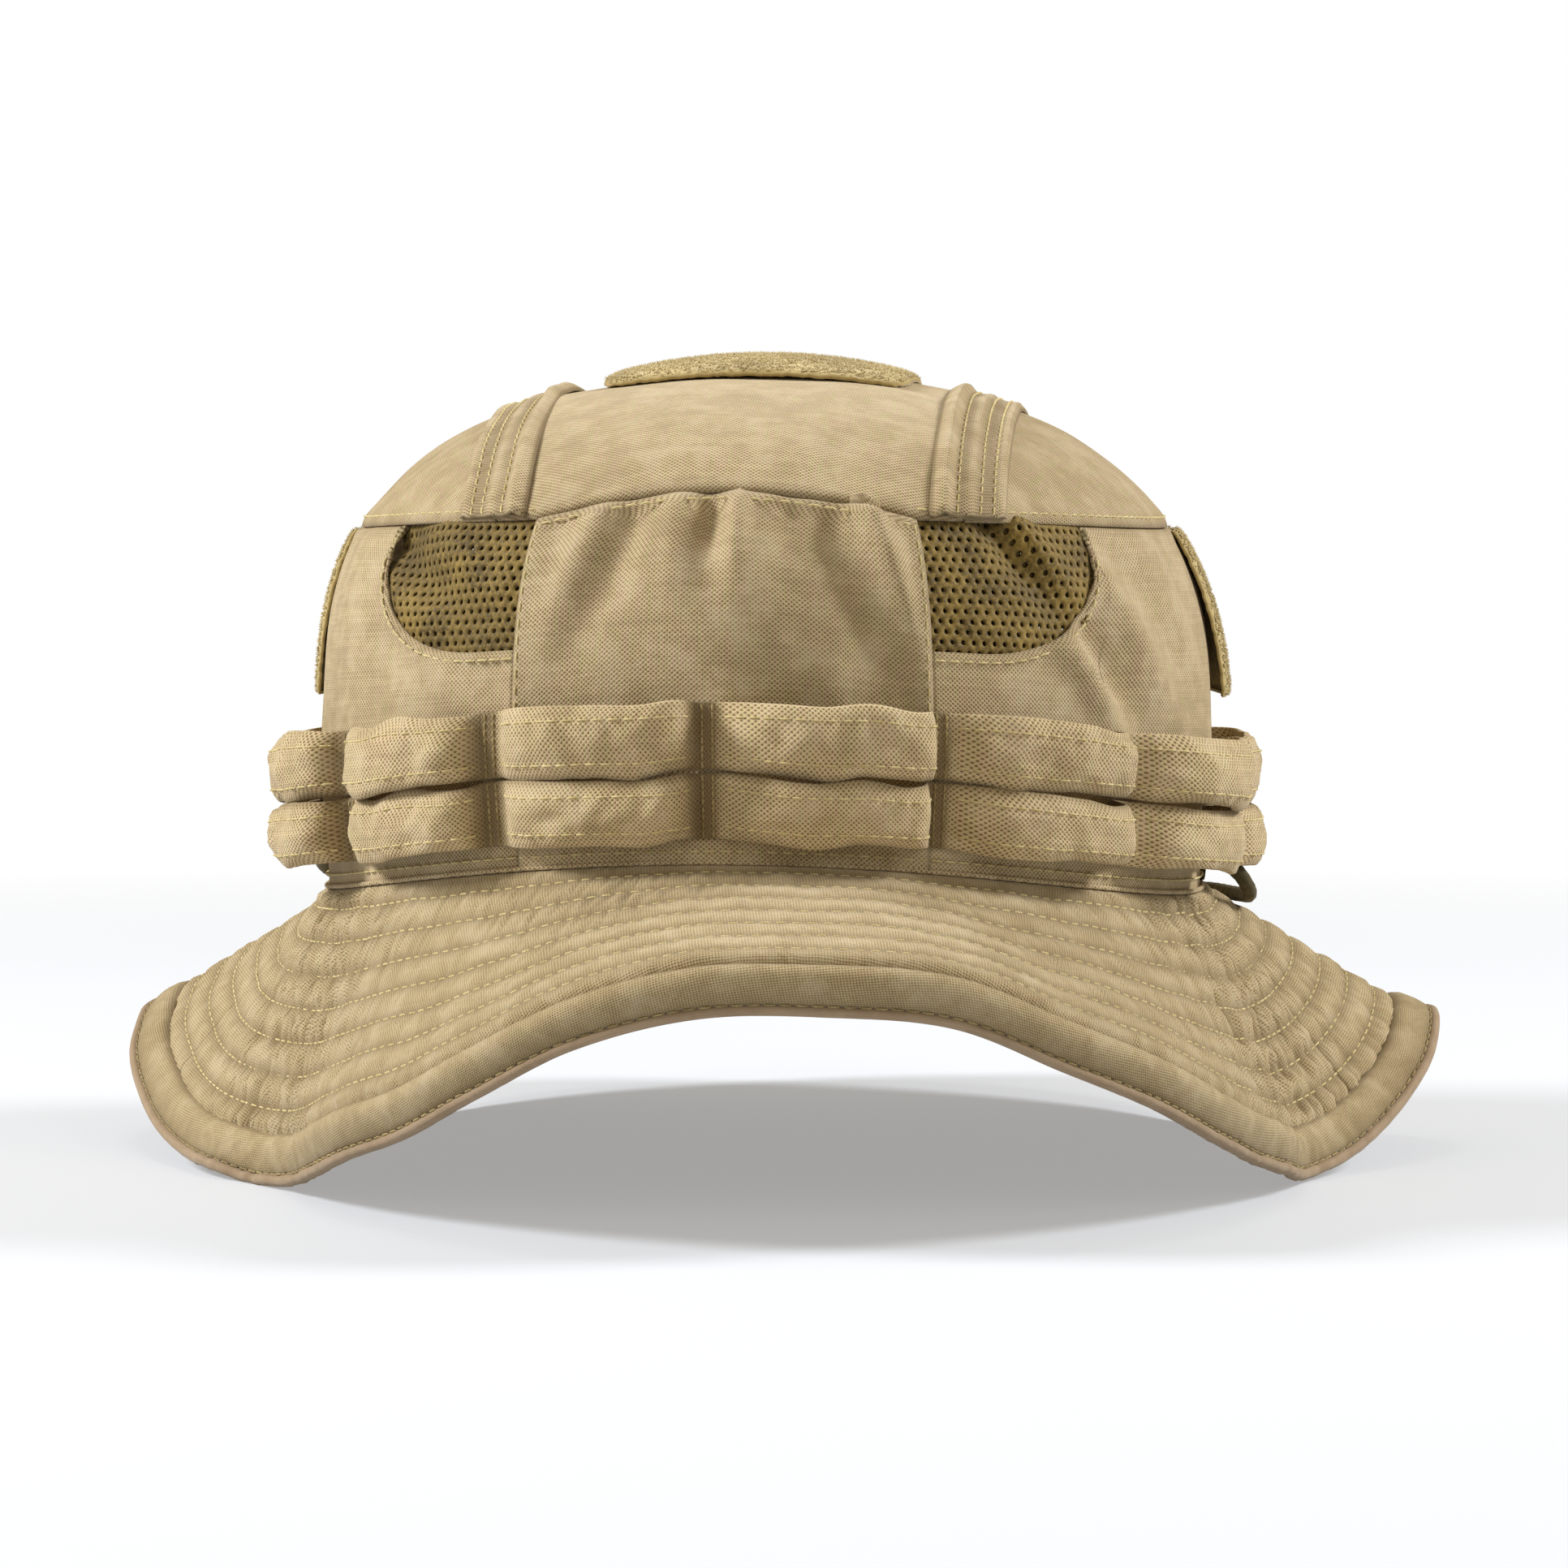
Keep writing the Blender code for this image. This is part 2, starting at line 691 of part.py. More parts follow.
def add_eyelet(name, side):
    """Metal eyelet clinched round the hole in the wall: a turned ring, I-shaped in section."""
    inner = -CLOTH - GAP
    face, back = GAP + EYELET_FLANGE_THICKNESS, inner - EYELET_FLANGE_THICKNESS
    profile = [(EYELET_BORE, face), (EYELET_FLANGE, face), (EYELET_FLANGE, GAP), (EYELET_BARREL, GAP),
               (EYELET_BARREL, inner), (EYELET_FLANGE, inner), (EYELET_FLANGE, back), (EYELET_BORE, back)]
    mesh = bpy.data.meshes.new(name)
    corners = [(radius, 0, height) for radius, height in profile]
    edges = [(i, (i + 1) % len(corners)) for i in range(len(corners))]
    mesh.from_pydata(corners, edges, [])
    eyelet = add_object(name, mesh, MATERIALS["brass"], PARTS)
    turn = eyelet.modifiers.new("Turn", "SCREW")
    turn.steps = turn.render_steps = 16
    turn.use_merge_vertices = True
    turn.merge_threshold = 0.00001
    centre, way = eyelet_axis(side)
    eyelet.matrix_world = Matrix.Translation(centre) @ way.to_track_quat("Z", "Y").to_matrix().to_4x4()
    return eyelet


def cut_eyelet_hole(panel, side):
    centre, way = eyelet_axis(side)
    mesh = cylinder_mesh(EYELET_BARREL + GAP, 10 * MM, 16)
    cutter = add_object("eyelet_hole_" + side, mesh, None, CUTTERS)
    cutter.matrix_world = Matrix.Translation(centre) @ way.to_track_quat("Z", "Y").to_matrix().to_4x4()
    cut(panel, cutter)


def add_lock_cutter(name, mesh, matrix):
    cutter = add_object(name, mesh, None, CUTTERS)
    cutter.matrix_world = matrix
    return cutter


def add_cord_lock():
    """Cord lock: a body, a spring in its bore and a button with a slot for the cords."""
    frame = lock_frame()
    slot_height = CORD_DIAMETER + 2 * GAP
    reach = CORD_OFFSET + CORD_DIAMETER / 2 + GAP
    turned = Matrix.Rotation(math.radians(90), 4, "Y")

    length = LOCK_OPEN_END - LOCK_CLOSED_END
    middle = (LOCK_OPEN_END + LOCK_CLOSED_END) / 2
    body = add_object("cord_lock_body", box_mesh((length, LOCK_DEPTH, LOCK_HEIGHT), (middle, 0, 0)),
                      MATERIALS["plastic"], PARTS)
    body.matrix_world = frame
    edges = body.modifiers.new("Edges", "BEVEL")
    edges.width = 2 * MM
    edges.segments = 2
    floor = LOCK_CLOSED_END + LOCK_FLOOR
    bore = cylinder_mesh(LOCK_BORE, length, 16)
    bore_place = frame @ Matrix.Translation((floor + length / 2, 0, 0)) @ turned
    cut(body, add_lock_cutter("lock_bore", bore, bore_place))
    hole = box_mesh((2 * reach, 2 * LOCK_DEPTH, slot_height))
    cut(body, add_lock_cutter("lock_cord_hole", hole, frame))

    stem_start = -reach - BUTTON_FOOT
    stem_end = LOCK_OPEN_END + BUTTON_TRAVEL + GAP
    head = BUTTON_HEAD
    stem = cylinder_mesh(BUTTON_RADIUS, stem_end + head / 2 - stem_start, 16)
    button = add_object("cord_lock_button", stem, MATERIALS["plastic"], PARTS)
    stem_middle = (stem_start + stem_end + head / 2) / 2
    button.matrix_world = frame @ Matrix.Translation((stem_middle, 0, 0)) @ turned
    cap = add_object("button_head", cylinder_mesh(BUTTON_HEAD_RADIUS, head, 16), None, CUTTERS)
    cap.matrix_world = frame @ Matrix.Translation((stem_end + head / 2, 0, 0)) @ turned
    cap.hide_render = True
    cap.display_type = "WIRE"
    join = button.modifiers.new("Head", "BOOLEAN")
    join.operation = "UNION"
    join.object = cap
    slot_length = 2 * reach + BUTTON_TRAVEL
    slot = box_mesh((slot_length, 2 * LOCK_DEPTH, slot_height), (slot_length / 2 - reach, 0, 0))
    cut(button, add_lock_cutter("button_slot", slot, frame))

    low, high = floor + GAP, stem_start - GAP
    inner_length = high - low - SPRING_WIRE
    points = []
    steps = SPRING_TURNS * 10
    for index in range(steps + 1):
        turn = 2 * math.pi * SPRING_TURNS * index / steps
        x = low + SPRING_WIRE / 2 + inner_length * index / steps
        points.append(frame @ Vector((x, SPRING_RADIUS * math.cos(turn), SPRING_RADIUS * math.sin(turn))))
    add_wire("cord_lock_spring", points, SPRING_WIRE, "steel")


# ---------------------------------------------------------------- the hat

clear_scene()
PARTS = bpy.data.collections.new("boonie_hat")
CUTTERS = bpy.data.collections.new("cutters")
bpy.context.scene.collection.children.link(PARTS)
bpy.context.scene.collection.children.link(CUTTERS)
MATERIALS = make_materials()

add_end_panel("front_panel", 0)
add_end_panel("rear_panel", 180)
for side_name, side_sign in (("left", -1), ("right", 1)):
    side_panel = add_side_panel("side_panel_" + side_name, side_sign)
    cut_eyelet_hole(side_panel, side_name)
    add_vent("mesh_vent_front_" + side_name, side_sign, False)
    add_vent("mesh_vent_rear_" + side_name, side_sign, True)
    add_top_side("crown_top_" + side_name, side_sign)
    add_top_strap("top_strap_" + side_name, side_sign)
    add_side_patch("side_loop_patch_" + side_name, side_sign)
    add_eyelet("chin_cord_eyelet_" + side_name, side_name)
add_top_centre()
add_top_pad()
for strip_name, strip_bottom in zip(("lower", "upper"), STRIP_BOTTOMS):
    add_foliage_strip("foliage_band_" + strip_name, strip_bottom)
add_sweatband()
for half_name, half_middle in (("front", 0), ("rear", 180)):
    add_brim_half("brim_top_" + half_name, half_middle, 0.0, "canvas")
    add_brim_half("brim_underside_" + half_name, half_middle, 2 * (SKIN + GAP), "canvas")
add_stiffener()
add_binding()
add_wire("chin_cord", smooth_path(cord_route(), CORD_POINT_SPACING), CORD_DIAMETER, "cord")
add_cord_lock()
for item in [*PARTS.objects, *CUTTERS.objects]:
    item.location += PLACE
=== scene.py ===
"""Looks of the boonie hat: fine cloth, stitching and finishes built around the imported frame.

Front is -Y and up is +Z. Left and right are as seen from the front, with right at +X.
Angles go round the crown from the front: 0 is the front, 90 is +X, 180 is the rear.
The hat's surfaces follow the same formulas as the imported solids, in metres.
"""

import math
from contextlib import contextmanager

import bmesh
import bpy
import numpy as np
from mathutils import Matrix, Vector


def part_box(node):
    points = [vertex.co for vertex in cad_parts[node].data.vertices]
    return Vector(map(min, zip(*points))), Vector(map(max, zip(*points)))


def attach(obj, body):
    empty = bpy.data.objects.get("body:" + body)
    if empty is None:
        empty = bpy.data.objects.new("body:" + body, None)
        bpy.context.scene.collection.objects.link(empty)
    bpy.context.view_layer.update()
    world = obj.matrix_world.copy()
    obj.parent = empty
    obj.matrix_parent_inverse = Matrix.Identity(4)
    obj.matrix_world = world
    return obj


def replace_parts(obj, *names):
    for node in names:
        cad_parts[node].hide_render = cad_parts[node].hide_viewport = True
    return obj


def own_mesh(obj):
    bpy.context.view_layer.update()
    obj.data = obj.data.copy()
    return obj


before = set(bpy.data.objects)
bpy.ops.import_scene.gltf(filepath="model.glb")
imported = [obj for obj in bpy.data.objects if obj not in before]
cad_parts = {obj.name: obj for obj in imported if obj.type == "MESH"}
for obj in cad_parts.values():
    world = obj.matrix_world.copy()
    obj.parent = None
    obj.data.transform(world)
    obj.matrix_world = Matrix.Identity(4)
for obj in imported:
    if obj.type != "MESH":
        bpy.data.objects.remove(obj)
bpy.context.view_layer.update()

MM = 0.001

# Camera: round from the front, above the horizon, and its distance from the look-at point.
CAMERA_AZIMUTH = 5.0
CAMERA_ELEVATION = 3.5
CAMERA_DISTANCE = 1.2
CAMERA_LENS = 136.0
LOOK_HEIGHT = 76.35 * MM
LOOK_RIGHT = 3.78 * MM

# Light from all round, and the lamps: name, place, size and watts.
AMBIENT = 0.28
AMBIENT_TINT = (1.0, 0.84, 0.56)
LIGHTS = [("left", (-1.3, -0.2, 0.95), 0.5, 26), ("right", (1.3, 0.25, 0.95), 0.5, 22),
          ("front right", (0.9, -1.2, 0.7), 0.7, 3), ("front left", (-0.9, -1.1, 0.45), 0.6, 2),
          ("top", (-0.15, 0.2, 1.7), 0.4, 2)]
# The floor's colour, where it fades into the white behind it, and how clear it is everywhere.
FLOOR_COLOR = (0.70, 0.74, 0.82)
FLOOR_FADE = (0.3, 0.8)
FLOOR_CLEAR = 0.35

# The crown, the brim and their details, as in the part.
HALF_WIDTH = 88 * MM
HALF_LENGTH = 98 * MM
SEAM_HEIGHT = 61.55 * MM
SEAM_SADDLE = 5.7 * MM
REAR_SAG = 6 * MM
APEX_HEIGHT = 160 * MM
CROWN_POWER = 4.7
CROWN_BULGE = 0.026
BULGE_TOP = 0.3
CROWN_HEIGHT = APEX_HEIGHT - SEAM_HEIGHT
MEAN_RADIUS = 0.5 * (HALF_WIDTH + HALF_LENGTH)
PLACE = np.array((-0.4, -2.5, 0)) * MM
PANEL_EDGE = 26.2
VENT_EDGE = 54.3
VENT_CORNER = 33
VENT_BOTTOM = 0.44
VENT_SIDE = 0.69
TOP_SEAM = 0.70
TOP_ARCH = 0.05
# Share of the crown's height that a panel runs on under the top, past its seam.
TUCK = 0.014
STRAP_X = 45 * MM
STRAP_WIDTH = 14 * MM
# Where the crown's top centre and its sides end, under a strap.
TOP_CUT = STRAP_X - 0.5 * MM
GAP = 0.3 * MM
PAD_HALF_WIDTH = 30.5 * MM
PAD_HALF_LENGTH = 29 * MM
PAD_THICKNESS = 2.4 * MM
PATCH_START = 86
PATCH_END = 124
PATCH_LOW = 0.37
PATCH_HIGH = 0.69
PATCH_THICKNESS = 2 * MM
LOOP_COUNT = 13
FIRST_TACK = -1.0
STRIP_HEIGHT = 12.5 * MM
STRIP_BOTTOMS = {"lower": 5 * MM, "upper": 18 * MM}
STRIP_THICKNESS = 1.2 * MM
LOOP_BULGE = 8.5 * MM
LOOP_SIDE_BULGE = 2.5 * MM
BRIM_WIDTH = 57 * MM
BRIM_SIDE_EXTRA = 4 * MM
HEM_START = 14 * MM
HEM_END = 6 * MM
# angle: droop of the brim in degrees, droop of its hem in degrees
DROOP = {
    -170: (28, 42), -152: (47, 60), -139: (67, 70), -129: (76, 72), -119: (54, 48),
    -110: (31, 18), -100: (37, 20), -90: (50, 30), -80: (60, 38), -72: (66, 46),
    -64: (72, 60), -57: (72, 74), -50: (68, 82), -40: (60, 88), -30: (52, 90),
    -20: (39, 92), -10: (25, 92), 0: (17, 92), 10: (16, 92), 20: (18, 92), 30: (28, 90),
    40: (37, 88), 50: (47, 86), 60: (55, 80), 68: (60, 71), 76: (65, 58), 84: (60, 40),
    92: (51, 18), 99: (39, 6), 108: (31, 8), 116: (50, 43), 125: (71.5, 67), 136: (65, 70),
    152: (46, 60), 170: (28, 42),
}
SWEATBAND_HEIGHT = 28 * MM
SWEATBAND_INSET = 2.6 * MM
SWEATBAND_STITCH = 24.4 * MM
CORD_DIAMETER = 3.2 * MM
EYELET_ANGLES = {"left": -98.0, "right": 96.0}
EYELET_HEIGHT = 4.7 * MM
LOCK_PLACE = 24 * MM
LOCK_RISE = 5.6 * MM
CORD_OFFSET = CORD_DIAMETER / 2 + GAP / 2
SPRING_WIRE = 0.5 * MM
SPRING_TURNS = 3

# Stitching.
STITCH_LENGTH = 2.2 * MM
STITCH_PITCH = 2.9 * MM
THREAD_RADIUS = 0.23 * MM
CLOTH_THICKNESS = 0.8 * MM
STRAP_LINES = (-0.32, 0.28, 0.62)
BAND_LINES = (0.215, 0.785)
TACK_PITCH = 1.5 * MM
TACK_LENGTH = 1.3 * MM
TACK_SHIFT = 0.022
TACK_RADIUS = 0.26 * MM
BRIM_ROWS = 7
FIRST_ROW = 0.074
ROW_STEP = 0.114


# ---------------------------------------------------------------- numbers

def between(low, high, share):
    return low + (high - low) * share


def smooth(low, high, value):
    """0 below low, 1 above high, and a smooth step in between."""
    share = np.clip((value - low) / (high - low), 0.0, 1.0)
    return share * share * (3 - 2 * share)


def hump(value, centre, width):
    return np.exp(-((value - centre) / width) ** 2)


def strokes(u, v, table, base=0.0):
    """Folds in the plane u, v on top of a base, each by its height, start, end and width."""
    return sum((height * stroke(u, v, start, end, width) for height, start, end, width in table), base)


def stroke(u, v, start, end, width):
    """1 along a straight stroke from start to end in the plane u, v, fading over width."""
    along_u, along_v = end[0] - start[0], end[1] - start[1]
    length = math.hypot(along_u, along_v)
    share = np.clip(((u - start[0]) * along_u + (v - start[1]) * along_v) / length ** 2, 0, 1)
    away = np.hypot(u - start[0] - share * along_u, v - start[1] - share * along_v)
    return np.exp(-(away / width) ** 2) * (1 - 0.75 * smooth(0.3, 1.0, share))


def hermite(start, end, leave, arrive, share):
    """Cubic curve from start to end, with these slopes at its ends."""
    return (start * (2 * share ** 3 - 3 * share ** 2 + 1)
            + leave * (share ** 3 - 2 * share ** 2 + share)
            + end * (3 * share ** 2 - 2 * share ** 3) + arrive * (share ** 3 - share ** 2))


def distances(line):
    """Distance of each point of a line from its start, along the line."""
    return np.concatenate(([0], np.cumsum(np.linalg.norm(np.diff(line, axis=0), axis=1))))


def alike(*values):
    """The values as arrays of one shape."""
    return np.broadcast_arrays(*(np.asarray(value, float) for value in values))


def value_noise(u, v, seed):
    """Smooth noise from -1 to 1 over the plane u, v, its features one unit wide."""
    cells = 64
    lattice = np.random.default_rng(seed).uniform(-1, 1, (cells, cells))
    u, v = alike(u, v)
    column, row = np.floor(u).astype(int), np.floor(v).astype(int)
    across, up = u - column, v - row
    across, up = across * across * (3 - 2 * across), up * up * (3 - 2 * up)

    def at(i, j):
        return lattice[(row + j) % cells, (column + i) % cells]
    return (at(0, 0) * (1 - across) + at(1, 0) * across) * (1 - up) \
        + (at(0, 1) * (1 - across) + at(1, 1) * across) * up


def creases(u, v, seed):
    """Soft noise with a sharper ridge here and there, for cloth that has been worn."""
    bent = u + 0.6 * value_noise(u * 0.5, v * 0.5, seed + 1)
    return value_noise(bent, v, seed) + 0.45 * value_noise(bent * 2.1, v * 2.1, seed + 2)


# ---------------------------------------------------------------- the hat's surfaces

def vector(x, y, z):
    return np.stack(np.broadcast_arrays(x, y, z), axis=-1)


def unit(vectors):
    return vectors / np.maximum(np.linalg.norm(vectors, axis=-1, keepdims=True), 1e-12)


def seam_height(angle):
    turn = np.radians(angle)
    rear = np.maximum(0.0, -np.cos(turn))
    return SEAM_HEIGHT + SEAM_SADDLE * np.cos(2 * turn) - REAR_SAG * rear ** 2


def seam_point(angle):
    turn = np.radians(angle)
    return vector(HALF_WIDTH * np.sin(turn), -HALF_LENGTH * np.cos(turn), seam_height(angle))


def outward(angle):
    turn = np.radians(angle)
    return unit(vector(np.sin(turn) / HALF_WIDTH, -np.cos(turn) / HALF_LENGTH, 0))


def crown_spread(rise):
    grown = np.clip(rise / BULGE_TOP, 0, 1)
    bulge = 1 + CROWN_BULGE * grown * grown * (3 - 2 * grown)
    return bulge * np.sqrt(np.maximum(0.0, 1 - np.maximum(0.0, rise) ** CROWN_POWER))


def crown_point(angle, rise):
    base = seam_point(angle)
    spread = crown_spread(rise)
    return vector(base[..., 0] * spread, base[..., 1] * spread,
                  base[..., 2] + (APEX_HEIGHT - base[..., 2]) * rise)


def wall(angle, rise, out=0.0):
    """Points on the crown's wall, or off it by out."""
    angle, rise, out = alike(angle, rise, out)
    around = crown_point(angle + 0.5, rise) - crown_point(angle - 0.5, rise)
    upward = crown_point(angle, rise + 0.004) - crown_point(angle, rise - 0.004)
    return crown_point(angle, rise) + unit(np.cross(around, upward)) * out[..., None]


RISES = np.linspace(BULGE_TOP, 1, 3000)
SPREADS = crown_spread(RISES)


def top_height(x, y):
    spread = np.hypot(x / HALF_WIDTH, y / HALF_LENGTH)
    base = seam_height(np.degrees(np.arctan2(x / HALF_WIDTH, -y / HALF_LENGTH)))
    return base + (APEX_HEIGHT - base) * np.interp(spread, SPREADS[::-1], RISES[::-1])


def top(x, y, out=0.0):
    """Points on the crown's top over the place x, y, or off it by out."""
    x, y, out = alike(x, y, out)
    step = 0.3 * MM
    slope_x = (top_height(x + step, y) - top_height(x - step, y)) / (2 * step)
    slope_y = (top_height(x, y + step) - top_height(x, y - step)) / (2 * step)
    return vector(x, y, top_height(x, y)) + unit(vector(-slope_x, -slope_y, 1)) * out[..., None]


def top_seam(angle):
    """Share of the crown's height where its top panels begin."""
    turn = np.abs((angle + 90) % 180 - 90) / PANEL_EDGE
    return TOP_SEAM + TOP_ARCH * np.cos(np.minimum(turn, 1.0) * np.pi / 2)


def lower_edge(angle):
    """Top edge of a side panel: a quarter oval lets each vent in."""
    turn = np.abs((angle + 90) % 180 - 90)
    share = np.clip((turn - VENT_CORNER) / (VENT_EDGE - VENT_CORNER), 0, 1)
    edge = VENT_BOTTOM + (VENT_SIDE - VENT_BOTTOM) * (1 - np.sqrt(1 - share ** 2))
    return np.where(turn >= VENT_EDGE, TOP_SEAM, edge)


def seam_curve(start, end):
    """Points along the top seam between two angles, one every twentieth of a degree."""
    turns = np.linspace(start, end, round(abs(end - start) * 20) + 1)
    return crown_point(turns, top_seam(turns))


FRONT_SEAM, REAR_SEAM, SIDE_SEAM = seam_curve(0, 90), seam_curve(180, 90), seam_curve(20, 160)


def top_edge(x, front):
    """The y where the top seam crosses x, at the front or at the rear."""
    curve = FRONT_SEAM if front else REAR_SEAM
    return np.interp(np.abs(x), curve[:, 0], curve[:, 1])


def top_side_width(y):
    """The x where the top seam crosses y."""
    return np.interp(y, SIDE_SEAM[:, 1], SIDE_SEAM[:, 0])


def droop(angle):
    """Droop of the brim and of its hem in degrees, smooth and closed through DROOP."""
    keys = np.array(sorted(DROOP), float)
    values = np.array([DROOP[key] for key in sorted(DROOP)], float)
    keys = np.concatenate((keys[-2:] - 360, keys, keys[:3] + 360))
    values = np.concatenate((values[-2:], values, values[:3]))
    angle = (np.asarray(angle, float) + 180) % 360 - 180
    place = np.searchsorted(keys, angle, side="right") - 1
    span = keys[place + 1] - keys[place]
    share = ((angle - keys[place]) / span)[..., None]
    before, start, end, after = (values[place + step] for step in (-1, 0, 1, 2))
    leave = (end - before) * (span / (keys[place + 1] - keys[place - 1]))[..., None]
    arrive = (after - start) * (span / (keys[place + 2] - keys[place]))[..., None]
    return hermite(start, end, leave, arrive, share)


def brim_width(angle):
    return BRIM_WIDTH + BRIM_SIDE_EXTRA * np.sin(np.radians(angle)) ** 2


def brim_slope(angle, along):
    slopes = np.radians(droop(angle))
    share = np.clip((along - brim_width(angle) + HEM_START) / (HEM_START - HEM_END), 0, 1)
    return slopes[..., 0] + (slopes[..., 1] - slopes[..., 0]) * share


def brim_surface(angle, along):
    steps = (np.arange(24) + 0.5) / 24
    slope = brim_slope(angle[..., None], along[..., None] * steps)
    run = np.cos(slope).mean(axis=-1) * along
    drop = np.sin(slope).mean(axis=-1) * along
    return seam_point(angle) + outward(angle) * run[..., None] - vector(0, 0, drop)


def brim(angle, along, out=0.0):
    """Points on the brim's top surface, this far along the cloth, or off it by out."""
    angle, along, out = alike(angle, along, out)
    here = brim_surface(angle, along)
    around = brim_surface(angle + 0.5, along) - brim_surface(angle - 0.5, along)
    slope = brim_slope(angle, along)[..., None]
    down = outward(angle) * np.cos(slope) - vector(0, 0, 1) * np.sin(slope)
    return here + unit(np.cross(down, around)) * out[..., None]


# ---------------------------------------------------------------- meshes

def grid(columns, rows, closed=False):
    """Two arrays, u along the columns and v along the rows, from 0 to 1, or u to just under 1."""
    return np.meshgrid(np.linspace(0, 1, columns, endpoint=not closed), np.linspace(0, 1, rows))


def cloth_uv(points, wrap_rows=False, wrap_columns=False):
    """Flat places in metres for a grid of points, measured along its rows and columns."""
    if wrap_columns:
        points = np.concatenate((points, points[:, :1]), axis=1)
    if wrap_rows:
        points = np.concatenate((points, points[:1]), axis=0)
    across = np.zeros(points.shape[:2])
    up = np.zeros(points.shape[:2])
    across[:, 1:] = np.cumsum(np.linalg.norm(np.diff(points, axis=1), axis=-1), axis=1)
    up[1:] = np.cumsum(np.linalg.norm(np.diff(points, axis=0), axis=-1), axis=0)
    across -= across[:, across.shape[1] // 2][:, None]
    up -= up[up.shape[0] // 2][None, :]
    return np.stack((across, up), axis=-1)


def grid_corners(rows, columns, wrap_rows, wrap_columns, stride):
    row, column = np.meshgrid(np.arange(rows if wrap_rows else rows - 1),
                              np.arange(columns if wrap_columns else columns - 1), indexing="ij")
    height, width = stride
    next_row, next_column = (row + 1) % height, (column + 1) % width
    return np.stack((row * width + column, row * width + next_column,
                     next_row * width + next_column, next_row * width + column),
                    axis=-1).reshape(-1, 4)


def make_mesh(name, points, faces, uv=None, painted_shade=None):
    """A mesh object from points, faces, a flat place per face corner and a painted shade per point."""
    mesh = bpy.data.meshes.new(name)
    mesh.from_pydata((points + PLACE).tolist(), [], faces)
    if uv is not None:
        layer = mesh.uv_layers.new(name="UVMap")
        layer.data.foreach_set("uv", np.ascontiguousarray(uv, np.float32).ravel())
    shade = mesh.attributes.new("painted_shade", "FLOAT", "POINT")
    if painted_shade is not None:
        shade.data.foreach_set("value", np.ascontiguousarray(painted_shade, np.float32).ravel())
    mesh.shade_smooth()
    made = bpy.data.objects.new(name, mesh)
    bpy.context.scene.collection.objects.link(made)
    return made


def make_sheet(name, points, painted_shade=None, uv=None, wrap_rows=False, wrap_columns=False):
    """A sheet of cloth from a grid of points, whose normals face where rows cross columns."""
    rows, columns = points.shape[:2]
    faces = grid_corners(rows, columns, wrap_rows, wrap_columns, (rows, columns))
    if uv is None:
        uv = cloth_uv(points, wrap_rows, wrap_columns)
    flat = uv.reshape(-1, 2)
    corners = grid_corners(rows, columns, wrap_rows, wrap_columns, uv.shape[:2])
    return make_mesh(name, points.reshape(-1, 3), faces.tolist(), flat[corners.ravel()],
                     None if painted_shade is None else np.clip(painted_shade, 0, 1))


@contextmanager
def edited(mesh):
    """The mesh as a bmesh, which is written back afterwards."""
    shape = bmesh.new()
    shape.from_mesh(mesh)
    yield shape
    shape.to_mesh(mesh)
    shape.free()


def dress(piece, material, nodes=(), thickness=0.0, body="hat"):
    """Give a piece its looks, body, slot and CAD nodes, and a sheet its thickness, inwards."""
    if thickness:
        solid = piece.modifiers.new("Thickness", "SOLIDIFY")
        solid.thickness = thickness
        solid.offset = -1
    piece.data.materials.append(material)
    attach(piece, body)
    if nodes:
        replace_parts(piece, *nodes)
    return piece


# ---------------------------------------------------------------- materials

class Nodes:
    """A node tree and short ways to add to it. Values are numbers, colours or other nodes' sockets."""

    def __init__(self, tree):
        self.tree = tree

    def put(self, value, socket):
        if isinstance(value, bpy.types.NodeSocket):
            self.tree.links.new(value, socket)
        elif socket.type == "RGBA" and len(value) == 3:
            socket.default_value = (*value, 1)
        else:
            socket.default_value = value

    def add(self, kind, values=None, **settings):
        made = self.tree.nodes.new("ShaderNode" + kind)
        for key, value in settings.items():
            setattr(made, key, value)
        for key, value in (values or {}).items():
            self.put(value, made.inputs[key])
        return made

    def maths(self, operation, first, second=0.0):
        return self.add("Math", {0: first, 1: second}, operation=operation).outputs[0]

    def plus(self, first, second):
        return self.maths("ADD", first, second)

    def times(self, first, second):
        return self.maths("MULTIPLY", first, second)

    def mixed(self, share, first, second, blend="MIX"):
        values = {0: share, 6: first, 7: second}
        return self.add("Mix", values, data_type="RGBA", blend_type=blend).outputs[2]

    def spread(self, value, low, high, new_low=0, new_high=1):
        values = {0: value, 1: low, 2: high, 3: new_low, 4: new_high}
        return self.add("MapRange", values).outputs[0]

    def noise(self, place, scale, detail, roughness=0.5):
        values = {"Vector": place, "Scale": scale, "Detail": detail, "Roughness": roughness}
        return self.add("TexNoise", values).outputs[0]

    def streaks(self, across, along, thread_share, scale, seed):
        """Noise drawn out along the threads."""
        place = self.add("CombineXYZ", {0: across, 1: self.times(along, thread_share), 2: seed})
        return self.noise(place.outputs[0], scale, 2.0, 0.6)

    def body(self):
        return self.add("TexCoord").outputs["Object"]

    def painted_shade(self, share):
        """Painted shade: how much a point is darkened where it lies in shade in a fold, a seam or a
        recess, as its mesh says.
        """
        return self.times(self.add("Attribute", attribute_name="painted_shade").outputs["Fac"], share)


